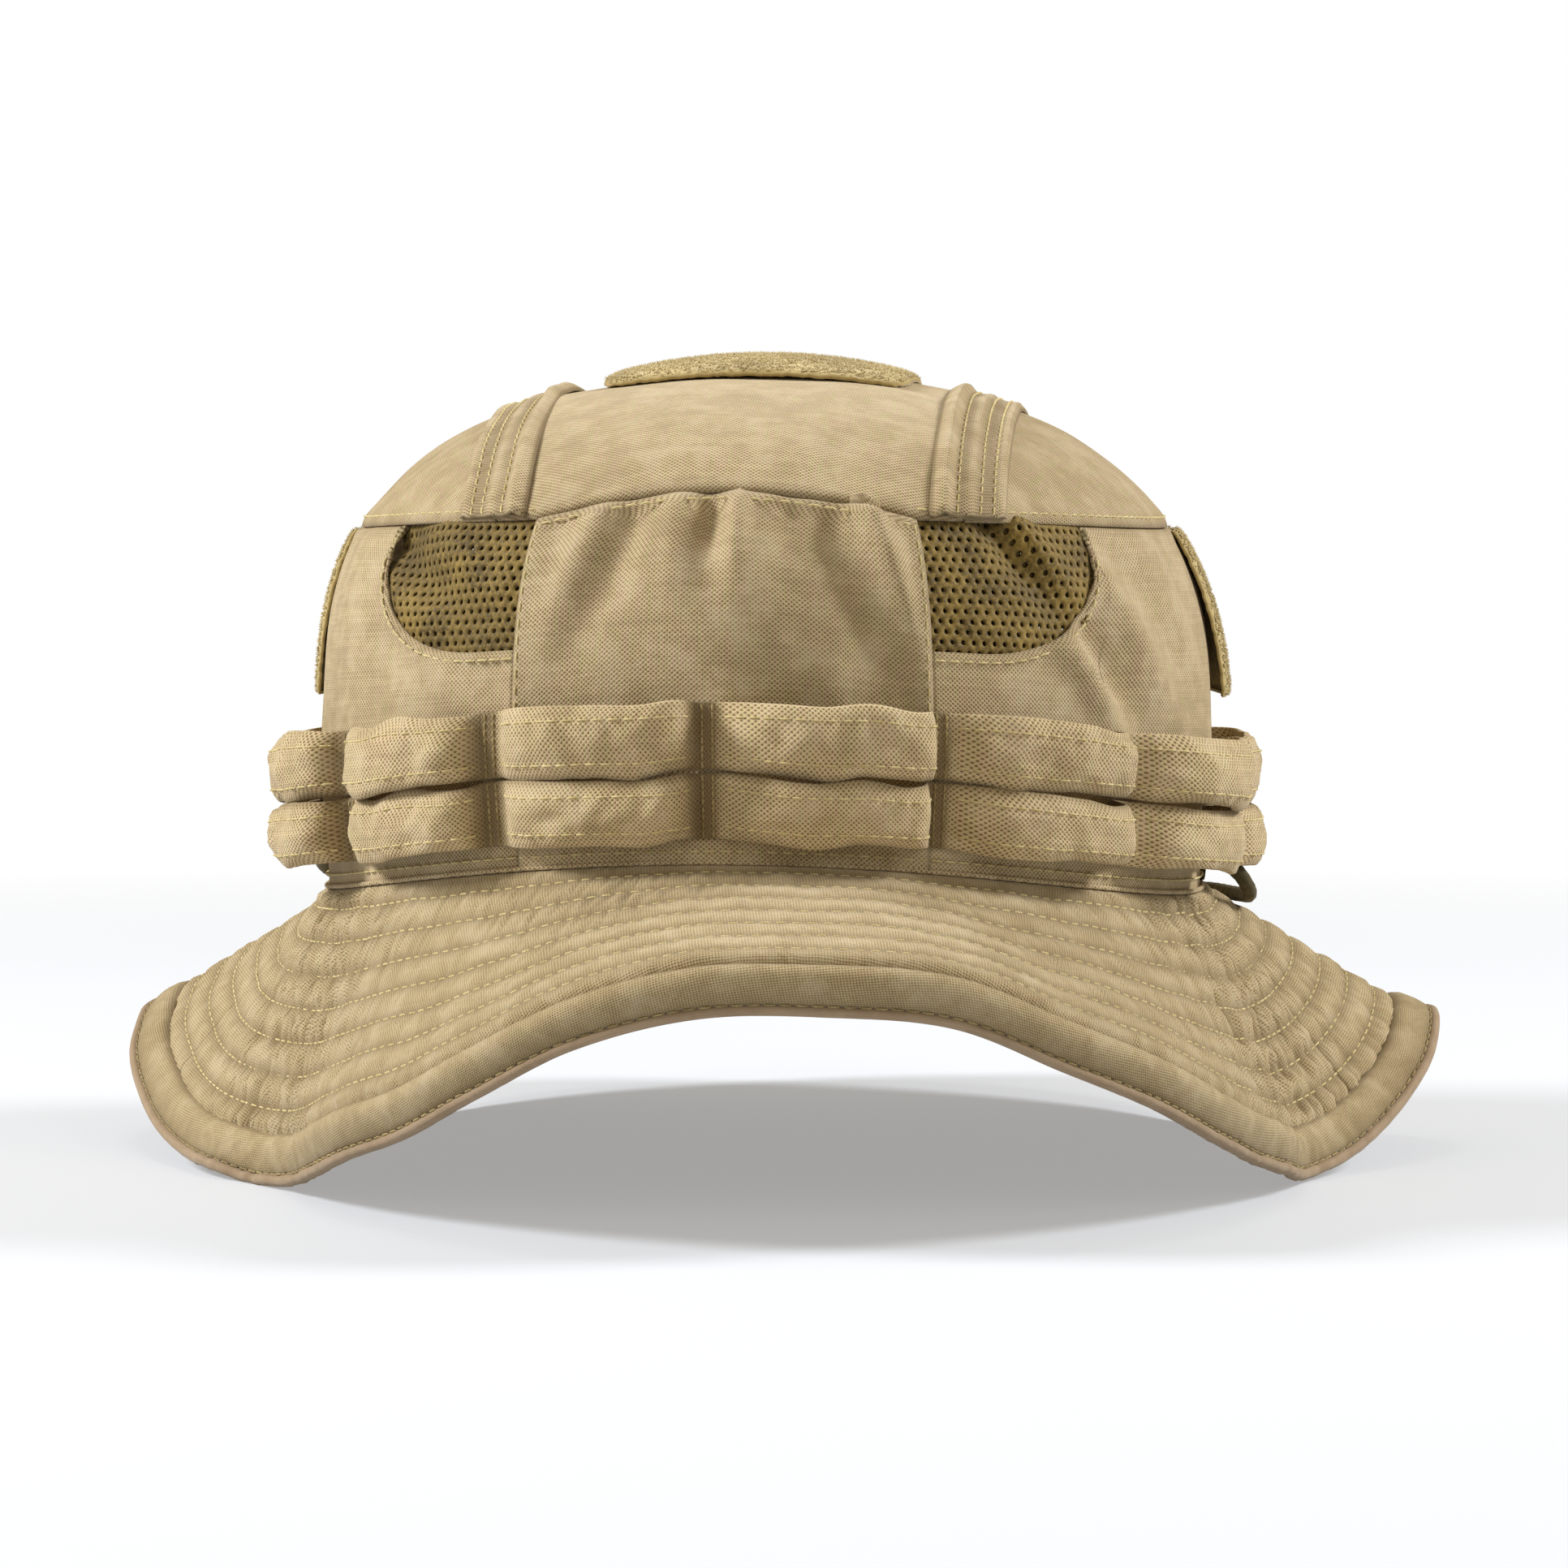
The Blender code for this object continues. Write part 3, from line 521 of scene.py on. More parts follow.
class Finish(Nodes):
    """A new material."""

    def __init__(self, name, roughness, sheen=0.0, metallic=0.0, specular=0.25):
        self.material = bpy.data.materials.new(name)
        self.material.use_nodes = True
        super().__init__(self.material.node_tree)
        self.shader = self.tree.nodes["Principled BSDF"]
        self.shade(roughness, "Roughness")
        self.shade(metallic, "Metallic")
        self.shade(specular, "Specular IOR Level")
        self.shade(sheen, "Sheen Weight")
        self.shade(0.45, "Sheen Roughness")
        self.shade((1.0, 0.93, 0.78), "Sheen Tint")

    def shade(self, value, name):
        """Set one of the shader's own inputs."""
        self.put(value, self.shader.inputs[name])

    def rough(self, noise, low, high):
        self.shade(self.spread(noise, 0.3, 0.7, low, min(1.0, high)), "Roughness")

    def bump(self, height, strength, distance):
        values = {"Height": height, "Strength": strength, "Distance": distance}
        self.shade(self.add("Bump", values).outputs[0], "Normal")


# Spacing of the weft as a share of the warp's.
WEFT_SQUEEZE = 0.85


def weave(name, warp, weft, gap, thread, turn=0.0, relief=0.12 * MM, roughness=0.88, slub=1.0,
          worn=(0.72, 0.62, 0.44), depth=0.9):
    """Plain-woven cloth: two sets of threads of their own colours, uneven along their length, with painted
    shade in the gaps between threads and where the mesh marks it.
    """
    nodes = Finish(name, roughness, sheen=0.3)
    uv = nodes.add("UVMap", uv_map="UVMap").outputs[0]
    turned = nodes.add("Mapping", {"Vector": uv, "Rotation": (0, 0, math.radians(turn)),
                                   "Scale": (1 / thread, 1 / (thread * WEFT_SQUEEZE), 1)}).outputs[0]
    x, y = list(nodes.add("SeparateXYZ", {0: turned}).outputs)[:2]
    x = nodes.plus(x, nodes.times(nodes.streaks(x, y, 1.0, 0.12, 3.0), 0.5))
    cell = nodes.times(*(nodes.maths("SINE", nodes.times(axis, math.pi)) for axis in (x, y)))
    warp_streak = nodes.streaks(x, y, 0.05, 0.9, 1.0)
    uneven = nodes.plus(warp_streak, nodes.streaks(y, x, 0.03, 0.9, 7.0))
    color = nodes.mixed(nodes.spread(warp_streak, 0.42, 0.58), warp, weft)
    shade = nodes.spread(uneven, 0.75, 1.25, 1 - 0.16 * slub, 1 + 0.12 * slub)
    grey = nodes.add("CombineColor", {0: shade, 1: shade, 2: shade}).outputs[0]
    color = nodes.mixed(1.0, color, grey, "MULTIPLY")
    # dark thread gaps: painted shade where the threads dip under each other
    color = nodes.mixed(nodes.spread(cell, 0.0, -0.75, 0, depth), color, gap)
    color = nodes.mixed(nodes.spread(cell, 0.3, 1.0, 0, 0.3), color, worn)
    mottle = nodes.noise(nodes.body(), 120.0, 6.0, 0.7)
    color = nodes.mixed(nodes.spread(mottle, 0.48, 0.68, 0, 0.3), color, worn)
    color = nodes.mixed(nodes.spread(mottle, 0.52, 0.32, 0, 0.22), color, gap)
    # painted shade: darker towards the gap colour where the mesh marks folds, seams and recesses
    nodes.shade(nodes.mixed(nodes.painted_shade(0.85), color, gap), "Base Color")
    fuzz = nodes.noise(turned, 1.6, 3.0)
    height = nodes.plus(nodes.spread(cell, -0.9, 0.5), nodes.times(fuzz, 0.7))
    nodes.bump(nodes.plus(height, nodes.times(uneven, 0.8)), 0.8, relief)
    nodes.rough(fuzz, roughness - 0.06, roughness + 0.08)
    return nodes.material


def fibre(name, light, dark, scale, relief, roughness=0.9, sheen=0.3):
    """Brushed pile, thread or braid: fine fibres in two tones, broken up by noise, and painted shade
    towards the dark tone where the mesh marks it.
    """
    nodes = Finish(name, roughness, sheen)
    body = nodes.body()
    fine, broad = nodes.noise(body, scale, 4.0, 0.65), nodes.noise(body, scale / 14, 2.0)
    share = nodes.spread(nodes.plus(fine, nodes.times(broad, 0.6)), 0.62, 0.98)
    nodes.shade(nodes.mixed(nodes.painted_shade(0.8), nodes.mixed(share, dark, light), dark), "Base Color")
    nodes.bump(fine, 0.7, relief)
    nodes.rough(fine, roughness - 0.08, roughness + 0.06)
    return nodes.material


def hard(name, light, dark, roughness, metallic, scale, relief):
    """Moulded plastic or metal: faint texture, worn lighter where noise says."""
    nodes = Finish(name, roughness, metallic=metallic, specular=0.5)
    body = nodes.body()
    fine, broad = nodes.noise(body, scale, 5.0), nodes.noise(body, scale / 12, 3.0)
    nodes.shade(nodes.mixed(nodes.spread(broad, 0.4, 0.7), dark, light), "Base Color")
    nodes.rough(fine, roughness - 0.08, roughness + 0.12)
    nodes.bump(fine, 0.5, relief)
    return nodes.material


OLIVE_THREAD = (0.58, 0.475, 0.25)
BROWN_THREAD = (0.54, 0.395, 0.245)
# THREAD_GAP is painted shade between the threads, and the colour that painted shade and dark mottling go
# towards
THREAD_GAP = (0.13, 0.085, 0.035)
CANVAS = weave("crown_canvas", OLIVE_THREAD, BROWN_THREAD, THREAD_GAP, 0.52 * MM)
BRIM_CLOTH = weave("brim_canvas", (0.55, 0.445, 0.24), (0.485, 0.36, 0.205), (0.16, 0.11, 0.045),
                   0.4 * MM, turn=38, relief=0.08 * MM, slub=0.7)
BAND = weave("band_canvas", (0.66, 0.535, 0.28), (0.61, 0.445, 0.265), THREAD_GAP, 0.56 * MM,
             relief=0.15 * MM)
FACING = weave("hem_facing", (0.43, 0.315, 0.205), (0.39, 0.28, 0.185), (0.17, 0.11, 0.05), 0.26 * MM,
               relief=0.05 * MM, roughness=0.8, slub=0.8, worn=(0.5, 0.39, 0.27), depth=0.5)
LINING = weave("lining", (0.5, 0.39, 0.28), (0.46, 0.34, 0.25), (0.2, 0.13, 0.08), 0.3 * MM,
               relief=0.06 * MM, slub=0.5, worn=(0.58, 0.47, 0.36))
FOAM = weave("stiffener", (0.55, 0.5, 0.4), (0.55, 0.5, 0.4), (0.3, 0.27, 0.2), 0.5 * MM)
NET = fibre("vent_mesh", (0.29, 0.195, 0.045), (0.07, 0.045, 0.01), 1500, 0.05 * MM, 0.7, 0.15)
PILE = fibre("loop_pile", (0.66, 0.53, 0.25), (0.34, 0.25, 0.095), 900, 0.2 * MM, 0.95, 0.5)
SEWING = fibre("sewing_thread", (0.76, 0.65, 0.35), (0.5, 0.4, 0.17), 2500, 0.04 * MM, 0.7, 0.1)
# A darker copy of the sewing thread, for stitches in the band's tack valleys and the hem's groove: painted
# shade.
DARK_SEWING = fibre("tack_thread", (0.46, 0.36, 0.17), (0.22, 0.16, 0.065), 2500, 0.04 * MM, 0.75, 0.1)
BRAID = fibre("cord", (0.13, 0.105, 0.04), (0.045, 0.036, 0.012), 2200, 0.05 * MM, 0.55, 0.1)
PLASTIC = hard("lock_plastic", (0.075, 0.065, 0.032), (0.045, 0.04, 0.018), 0.42, 0.0, 1800, 0.03 * MM)
BRASS = hard("eyelet_brass", (0.34, 0.25, 0.11), (0.09, 0.07, 0.035), 0.36, 1.0, 900, 0.02 * MM)
STEEL = hard("spring_steel", (0.62, 0.62, 0.6), (0.5, 0.5, 0.48), 0.3, 1.0, 1500, 0.01 * MM)


# ---------------------------------------------------------------- camera, floor and light

def add_camera():
    azimuth, elevation = math.radians(CAMERA_AZIMUTH), math.radians(CAMERA_ELEVATION)
    forward = Vector((-math.sin(azimuth) * math.cos(elevation),
                      math.cos(azimuth) * math.cos(elevation), -math.sin(elevation)))
    rightward = Vector((math.cos(azimuth), math.sin(azimuth), 0))
    aim = Vector((PLACE[0], PLACE[1], LOOK_HEIGHT)) + rightward * LOOK_RIGHT
    data = bpy.data.cameras.new("camera")
    data.lens = CAMERA_LENS
    data.clip_start, data.clip_end = 0.05, 50
    camera = bpy.data.objects.new("camera", data)
    camera.location = aim - forward * CAMERA_DISTANCE
    camera.rotation_mode = "QUATERNION"
    camera.rotation_quaternion = forward.to_track_quat("-Z", "Y")
    bpy.context.scene.collection.objects.link(camera)
    bpy.context.scene.camera = camera


def add_light(name, place, size, watts):
    data = bpy.data.lights.new(name, "AREA")
    data.shape = "DISK"
    data.size = size
    data.energy = watts
    light = bpy.data.objects.new(name, data)
    light.location = place
    aim = Vector((0, 0, 0.08)) - Vector(place)
    light.rotation_euler = aim.to_track_quat("-Z", "Y").to_euler()
    bpy.context.scene.collection.objects.link(light)


def add_studio():
    """White surroundings, dimmer and warmer as a light, and a lamp on each side with faint fill."""
    world = bpy.data.worlds.new("studio")
    world.use_nodes = True
    nodes = Nodes(world.node_tree)
    background = nodes.tree.nodes["Background"]
    seen = nodes.add("LightPath").outputs["Is Camera Ray"]
    nodes.put(nodes.spread(seen, 0, 1, AMBIENT, 1.0), background.inputs["Strength"])
    nodes.put(nodes.mixed(seen, AMBIENT_TINT, (1, 1, 1)), background.inputs["Color"])
    bpy.context.scene.world = world
    for name, place, size, watts in LIGHTS:
        add_light(name, place, size, watts)
    bpy.context.scene.view_settings.view_transform = "Standard"


def add_floor():
    """A pale floor, seen only from above, that fades into the white behind it."""
    mesh = bpy.data.meshes.new("floor")
    with edited(mesh) as shape:
        bmesh.ops.create_circle(shape, cap_ends=True, segments=96, radius=8)
    floor = bpy.data.objects.new("floor", mesh)
    bpy.context.scene.collection.objects.link(floor)
    nodes = Finish("floor", 0.9)
    nodes.shade(FLOOR_COLOR, "Base Color")
    reach = nodes.add("VectorMath", {0: nodes.body()}, operation="LENGTH").outputs["Value"]
    behind = nodes.add("NewGeometry").outputs["Backfacing"]
    unseen = nodes.maths("MAXIMUM", nodes.spread(reach, *FLOOR_FADE), FLOOR_CLEAR)
    clear = nodes.add("BsdfTransparent").outputs[0]
    shown = nodes.add("MixShader", {0: nodes.maths("MAXIMUM", unseen, behind),
                                    1: nodes.shader.outputs[0], 2: clear})
    nodes.put(shown.outputs[0], nodes.tree.nodes["Material Output"].inputs["Surface"])
    mesh.materials.append(nodes.material)


# ---------------------------------------------------------------- chin cord

def eyelet_axis(side):
    """Centre of an eyelet on the wall's outer face, and the way its bore points."""
    angle = EYELET_ANGLES[side]
    rise = EYELET_HEIGHT / (APEX_HEIGHT - seam_height(angle))
    return wall(angle, rise), unit(wall(angle, rise, MM) - wall(angle, rise))


def rear_angle(x, along):
    """Angle near the rear at which the brim has this x, this far along the cloth."""
    turns = np.linspace(180, 90, 3601)
    across = brim_surface(turns, np.full_like(turns, along))[:, 0]
    last = int(np.argmax(across))
    turn = np.interp(abs(x), across[:last + 1], turns[:last + 1])
    return turn if x > 0 else 360 - turn


def bend(x, along, radius, start, end, lifts):
    """Points round an arc on the brim, in millimetres, each with its own lift."""
    points = []
    for index, lift in enumerate(lifts):
        turn = math.radians(between(start, end, index / (len(lifts) - 1)))
        points.append((x + radius * math.cos(turn), along + radius * math.sin(turn), lift))
    return points


def lock_frame():
    """Centre of the cord lock and the two ways in which its button and its cords run."""
    slope = float(brim_slope(np.array(180.0), np.array(LOCK_PLACE)))
    along = np.array((0, math.cos(slope), -math.sin(slope)))
    return brim(180, LOCK_PLACE, LOCK_RISE), np.array((1, 0, 0)), along


def cord_side(side):
    """Route of one half of the cord, from its eyelet to the cord lock."""
    sign = 1 if side == "right" else -1
    start, way = eyelet_axis(side)
    route = [start + way * out * MM for out in (-1.8, 0.6, 2.8)]
    # Out of the eyelet: angle, distance out from the seam and height above it.
    if side == "right":
        arch = [(96.5, 6.2, 3.8), (97.6, 9.2, 0.9), (100, 11.2, -2.6)]
        lane = [(107, 12.5), (115, 10), (124, 8.5)]
    else:
        arch = [(-99.8, 6.6, 3.9), (-103.2, 9.2, 1.8), (-108, 10.2, -1.0)]
        lane = [(114.5, 11.5), (124, 8)]
    for angle, out, height in arch:
        route.append(seam_point(angle) + outward(angle) * out * MM + vector(0, 0, height * MM))
    # On the brim: angle and distance from the seam.
    rest = CORD_DIAMETER / 2 + 3 * GAP
    steep = 5 * GAP
    for angle, along in lane + [(134, 7.5), (144, 6.5), (151, 7.5)]:
        route.append(brim(sign * angle, along * MM, rest + (steep if 112 < angle < 140 else 0)))
    # Slack laid in two bends behind the crown: x, distance from the seam, and lift off the brim.
    slack = [(41.2, 13, 0), (39.2, 23, 0)]
    slack += bend(31, 34, 8.5, 0, 180, [0, 0, 0, 0, 0])
    slack += bend(12.1, 17, 10.35, 0, -158, [0, 0, 0.3, 1.6, 2.9])
    for x, along, lift in slack:
        route.append(brim(rear_angle(sign * x * MM, along * MM), along * MM, rest + lift * MM))
    return route


def cord_route():
    """The whole cord: round the back on the brim and through the cord lock twice."""
    centre, across, along_lock = lock_frame()
    right, left = cord_side("right"), cord_side("left")
    straight = [centre + across * CORD_OFFSET + along_lock * y * MM
                for y in (-9.6, -8, 0, 6, 11.5, 14)]
    bight = [(3.6, 42, 2.5), (7.0, 47, 1.4), (5.6, 52.4, 1.0), (0, 54.6, 1.0)]
    loop = []
    for x, along, lift in bight:
        height = CORD_DIAMETER / 2 + 2 * GAP + lift * MM
        angle = rear_angle(x * MM, along * MM) if x else 180
        loop.append(brim(angle, along * MM, height))
    half = straight + loop
    mirrored = [point * (-1, 1, 1) for point in reversed(half[:-1])]
    return np.array(right + half + mirrored + list(reversed(left)))


def smooth_path(points, spacing):
    """Evenly spaced points on a smooth curve through the given ones."""
    fine = []
    for index in range(len(points) - 1):
        before = points[max(0, index - 1)]
        start, end = points[index], points[index + 1]
        after = points[min(len(points) - 1, index + 2)]
        span = np.linalg.norm(end - start)
        leave = (end - before) / max(1e-9, np.linalg.norm(start - before) + span) * span
        arrive = (after - start) / max(1e-9, np.linalg.norm(after - end) + span) * span
        fine += [hermite(start, end, leave, arrive, share) for share in np.arange(12) / 12]
    fine.append(points[-1])
    return even_points(np.array(fine), spacing)


def even_points(line, spacing):
    """The same line with points at an even spacing along it."""
    place = distances(line)
    wanted = np.linspace(0, place[-1], max(2, round(place[-1] / spacing)) + 1)
    return np.stack([np.interp(wanted, place, line[:, axis]) for axis in range(3)], axis=1)


def ring_ways(along, up, corners):
    """The ways out to the corners of rings round a path that runs along."""
    side = unit(np.cross(along, up))
    lift = np.cross(side, along)
    turn = np.linspace(0, 2 * np.pi, corners, endpoint=False)[:, None]
    return np.cos(turn) * side[..., None, :] + np.sin(turn) * lift[..., None, :]


def tube_rings(path, radius, up):
    """Rings of points round a path. Radius is an array of one row per path point."""
    ways = ring_ways(unit(np.gradient(path, axis=0)), up, radius.shape[1])
    return path[:, None] + ways * radius[..., None]


def add_cord():
    """The braided chin cord, its strands raised in a cross-wound pattern."""
    path = smooth_path(cord_route(), 0.45 * MM)
    length = np.linalg.norm(np.diff(path, axis=0), axis=1).sum()
    up = np.broadcast_to((0.02, 0.05, 1.0), path.shape)
    turn = np.linspace(0, 2 * np.pi, 16, endpoint=False)[None, :]
    place = np.linspace(0, length, len(path))[:, None] / (5.2 * MM) * 2 * np.pi
    strands = 0.5 + 0.5 * np.sin(4 * turn + place) * np.sin(4 * turn - place)
    radius = CORD_DIAMETER / 2 * (0.9 + 0.1 * strands)
    # painted shade in the grooves between the braid's strands
    cord = make_sheet("chin_cord_braid", tube_rings(path, radius, up), 1 - strands, wrap_columns=True)
    close_ends(cord)
    dress(cord, BRAID, ["chin_cord"])
    add_spring()


def add_spring():
    """The spring in the cord lock, which closes up as the button is pressed; this coil keeps one length
    and moves with the lock's body.
    """
    low, high = np.array(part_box("cord_lock_spring")) - PLACE
    middle = (low + high) / 2
    length = high[0] - low[0]
    radius = (high[1] - low[1] - SPRING_WIRE) / 2
    share = np.linspace(0, 1, 36 * SPRING_TURNS + 1)
    turn = 2 * np.pi * SPRING_TURNS * share
    along = low[0] + SPRING_WIRE / 2 + (length - SPRING_WIRE) * share
    path = vector(along, middle[1] + radius * np.cos(turn), middle[2] + radius * np.sin(turn))
    rings = tube_rings(path, np.full((len(path), 10), SPRING_WIRE / 2), (1.0, 0.0, 0.0))
    spring = make_sheet("cord_lock_coil_spring", rings, wrap_columns=True)
    close_ends(spring)
    dress(spring, STEEL, ["cord_lock_spring"], body="cord_lock")
    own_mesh(spring)
    return spring


def close_ends(piece):
    """Fill the open ends of a tube."""
    with edited(piece.data) as shape:
        rim = [edge for edge in shape.edges if edge.is_boundary]
        bmesh.ops.holes_fill(shape, edges=rim, sides=64)
        bmesh.ops.recalc_face_normals(shape, faces=shape.faces)


# ---------------------------------------------------------------- stitching

def stitch_run(base, lifted, pitch, length):
    """Places of the stitches along a line: four points each, with the way off the cloth."""
    place = distances(base)
    count = max(1, int(place[-1] / pitch))
    starts = (np.arange(count) + 0.5) * place[-1] / count - length / 2
    wanted = starts[:, None] + np.array((0, 0.22, 0.78, 1)) * length
    off = unit(lifted - base)

    def at(values):
        return np.stack([np.interp(wanted, place, values[:, axis]) for axis in range(3)], axis=-1)
    return at(base), unit(at(off))


def add_stitches(name, runs, material=SEWING, radius=THREAD_RADIUS):
    """One piece of many stitches, each a short bent thread that dips into the cloth."""
    centres = np.concatenate([run[0] for run in runs])
    off = np.concatenate([run[1] for run in runs])
    shift = 20 * np.arange(len(centres))
    centres = centres + off * (np.array((-0.9, 0.45, 0.45, -0.9)) * radius)[None, :, None]
    ways = ring_ways(unit(np.gradient(centres, axis=1)), off, 5)
    girth = radius * np.array((0.6, 1.0, 1.0, 0.6))
    points = (centres[:, :, None] + ways * girth[None, :, None, None]).reshape(-1, 3)
    faces = grid_corners(4, 5, False, True, (4, 5))
    ends = [list(range(5)), list(range(19, 14, -1))]
    quads = (faces[None] + shift[:, None, None]).reshape(-1, 4).tolist()
    caps = [[corner + move for corner in end] for move in shift.tolist() for end in ends]
    dress(make_mesh(name, points, quads + caps), material)


def run_over(surface, *place, out=0.0, pitch=STITCH_PITCH, length=STITCH_LENGTH):
    """Stitches along a line on one of the hat's surfaces, held off it by out."""
    return stitch_run(surface(*place, out), surface(*place, out + MM), pitch, length)


# ---------------------------------------------------------------- crown

NET_PITCH = 2.35 * MM
# Radius of a hole in the net, as a share of the pitch.
NET_HOLE = 0.225


def edge_roll(distance, amount=0.5 * MM, width=1.3 * MM):
    """A turned-in edge: the cloth dips at the seam and is a little thicker beside it."""
    return 0.45 * amount * hump(distance, width, width) - amount * hump(distance, 0, 0.45 * width)


# Folds: height in millimetres, start, end and width, on a panel or vent taken as one unit wide.
FRONT_FOLDS = [(-2.4, (-0.07, 1.08), (-0.06, 0.84), 0.075), (1.5, (0.08, 1.06), (0.07, 0.78), 0.065),
               (0.8, (-0.24, 1.05), (-0.22, 0.86), 0.07), (-1.5, (0.36, 1.05), (0.33, 0.82), 0.1),
               (2.4, (-0.62, 0.98), (-0.86, 0.55), 0.12), (-1.9, (-0.5, 0.98), (-0.9, 0.45), 0.12),
               (2.6, (0.72, 1.02), (0.95, 0.62), 0.075), (-2.2, (0.56, 0.95), (0.9, 0.5), 0.11),
               (0.7, (0.2, 0.8), (0.5, 0.45), 0.12)]
SIDE_FOLDS = {1: [(2.0, (0.5, 0.68), (0.62, 0.42), 0.03), (-2.2, (0.55, 0.74), (0.68, 0.42), 0.032),
                  (1.6, (0.61, 0.84), (0.75, 0.48), 0.035), (-1.2, (0.67, 0.92), (0.83, 0.52), 0.045)],
              -1: [(0.9, (0.42, 0.6), (0.34, 0.38), 0.04), (-0.8, (0.55, 0.66), (0.62, 0.3), 0.06),
                   (0.8, (0.7, 0.95), (0.66, 0.45), 0.07)]}
VENT_FOLDS = {1: [(-2.4, (0.42, 1.0), (0.74, 0.2), 0.08), (1.5, (0.55, 1.0), (0.88, 0.35), 0.09)],
              -1: [(-2.2, (0.95, 0.85), (0.25, 0.25), 0.12), (1.4, (0.6, 1.0), (0.15, 0.5), 0.12)]}
SIDE_SEEDS = {1: 41, -1: 53}


def front_folds(angle, rise):
    """Dents below the top seam and slack folds from the upper corners, as a stand-off."""
    u, v = angle / PANEL_EDGE, rise / TOP_SEAM
    out = strokes(u, v, FRONT_FOLDS) + 0.9 * creases(u * 2.4, v * 1.6, 11)
    return 1.35 * out * MM * smooth(0.25, 0.45, v)


def side_folds(angle, rise, side):
    """Folds of a side panel, deepest from the vent's corner down."""
    u, v = np.abs(angle) / 90, rise / TOP_SEAM
    out = strokes(u, v, SIDE_FOLDS[side], 0.7 * creases(u * 4.5, v * 1.8, SIDE_SEEDS[side]))
    return 1.3 * out * MM * smooth(0.0, 0.3, v)


def seam_shade(distance, width=0.9 * MM):
    return 0.55 * np.exp(-distance / width)


def add_end_panel(name, middle):
    u, v = grid(110, 130)
    angle = between(-PANEL_EDGE, PANEL_EDGE, u)
    seam = top_seam(angle)
    # above its seam the panel runs on under the top
    rise = (seam + TUCK) * v
    half = HALF_WIDTH * math.radians(PANEL_EDGE)
    side_distance = (1 - np.abs(2 * u - 1)) * half
    top_distance = np.abs(seam - rise) * CROWN_HEIGHT
    distance = np.minimum(side_distance, top_distance)
    if middle == 0:
        folds = front_folds(angle, rise)
    else:
        folds = 1.1 * creases(angle / 13, rise * 4.2, 31) * MM * smooth(0, 0.2, rise)
    folds = folds * smooth(0, 5 * MM, side_distance) * smooth(-1 * MM, 3 * MM, top_distance)
    out = 0.35 * MM + edge_roll(distance) + folds - 1.1 * MM * smooth(seam - 0.001, seam + 0.006, rise)
    painted_shade = seam_shade(distance)
    panel = make_sheet(name + "_cloth", wall(middle + angle, rise, out), painted_shade)
    dress(panel, CANVAS, [name], CLOTH_THICKNESS)


def vent_distance(turn, rise):
    """Distance along the wall to the nearest outline of a vent."""
    outline = np.linspace(PANEL_EDGE, VENT_EDGE, 60)
    across = (np.abs((turn + 90) % 180 - 90)[..., None] - outline) * math.radians(1) * HALF_LENGTH
    up = (rise[..., None] - lower_edge(outline)) * CROWN_HEIGHT
    return np.hypot(across, up).min(axis=-1)


def add_side_panel(name, side):
    u, v = grid(250, 110)
    turn = between(PANEL_EDGE, 180 - PANEL_EDGE, u)
    # columns crowd where the vents' outlines turn upright
    for place in (VENT_EDGE, 180 - VENT_EDGE):
        turn = turn - 2.2 * (turn - place) * np.exp(-((turn - place) / 4) ** 2) * 0.38
    # above its seam the panel runs on under the top
    edge = lower_edge(turn)
    rise = (edge + np.where(edge == TOP_SEAM, TUCK, 0.0)) * v
    below = np.minimum(vent_distance(turn, rise), np.abs(TOP_SEAM - rise) * CROWN_HEIGHT)
    angle = side * turn
    folds = side_folds(angle, rise, side) * smooth(-2 * MM, 5 * MM, below)
    end = np.minimum(turn - PANEL_EDGE, 180 - PANEL_EDGE - turn) * math.radians(1) * HALF_WIDTH
    out = (edge_roll(below) + folds) * smooth(-0.5 * MM, 6 * MM, end) - 0.15 * MM
    out = out - 0.9 * MM * smooth(TOP_SEAM - 0.004, TOP_SEAM + 0.004, rise)
    points = wall(angle, rise, out)
    flat = np.stack((side * np.radians(turn) * HALF_LENGTH, rise * CROWN_HEIGHT), axis=-1)
    if side < 0:
        points, flat, below = points[:, ::-1], flat[:, ::-1], below[:, ::-1]
    panel = make_sheet(name + "_cloth", points, seam_shade(below), flat)
    dress(panel, CANVAS, [name], CLOTH_THICKNESS)


def vent_folds(turn, rise, side, rear):
    """Slack of a mesh vent: a crease on the right, soft folds on the left."""
    u = (turn - PANEL_EDGE) / (VENT_EDGE - PANEL_EDGE)
    v = (rise - VENT_BOTTOM) / (TOP_SEAM - VENT_BOTTOM)
    return strokes(u, v, VENT_FOLDS[side], 0.5 * creases(u * 3, v * 3, 61 + side + 5 * rear)) * MM


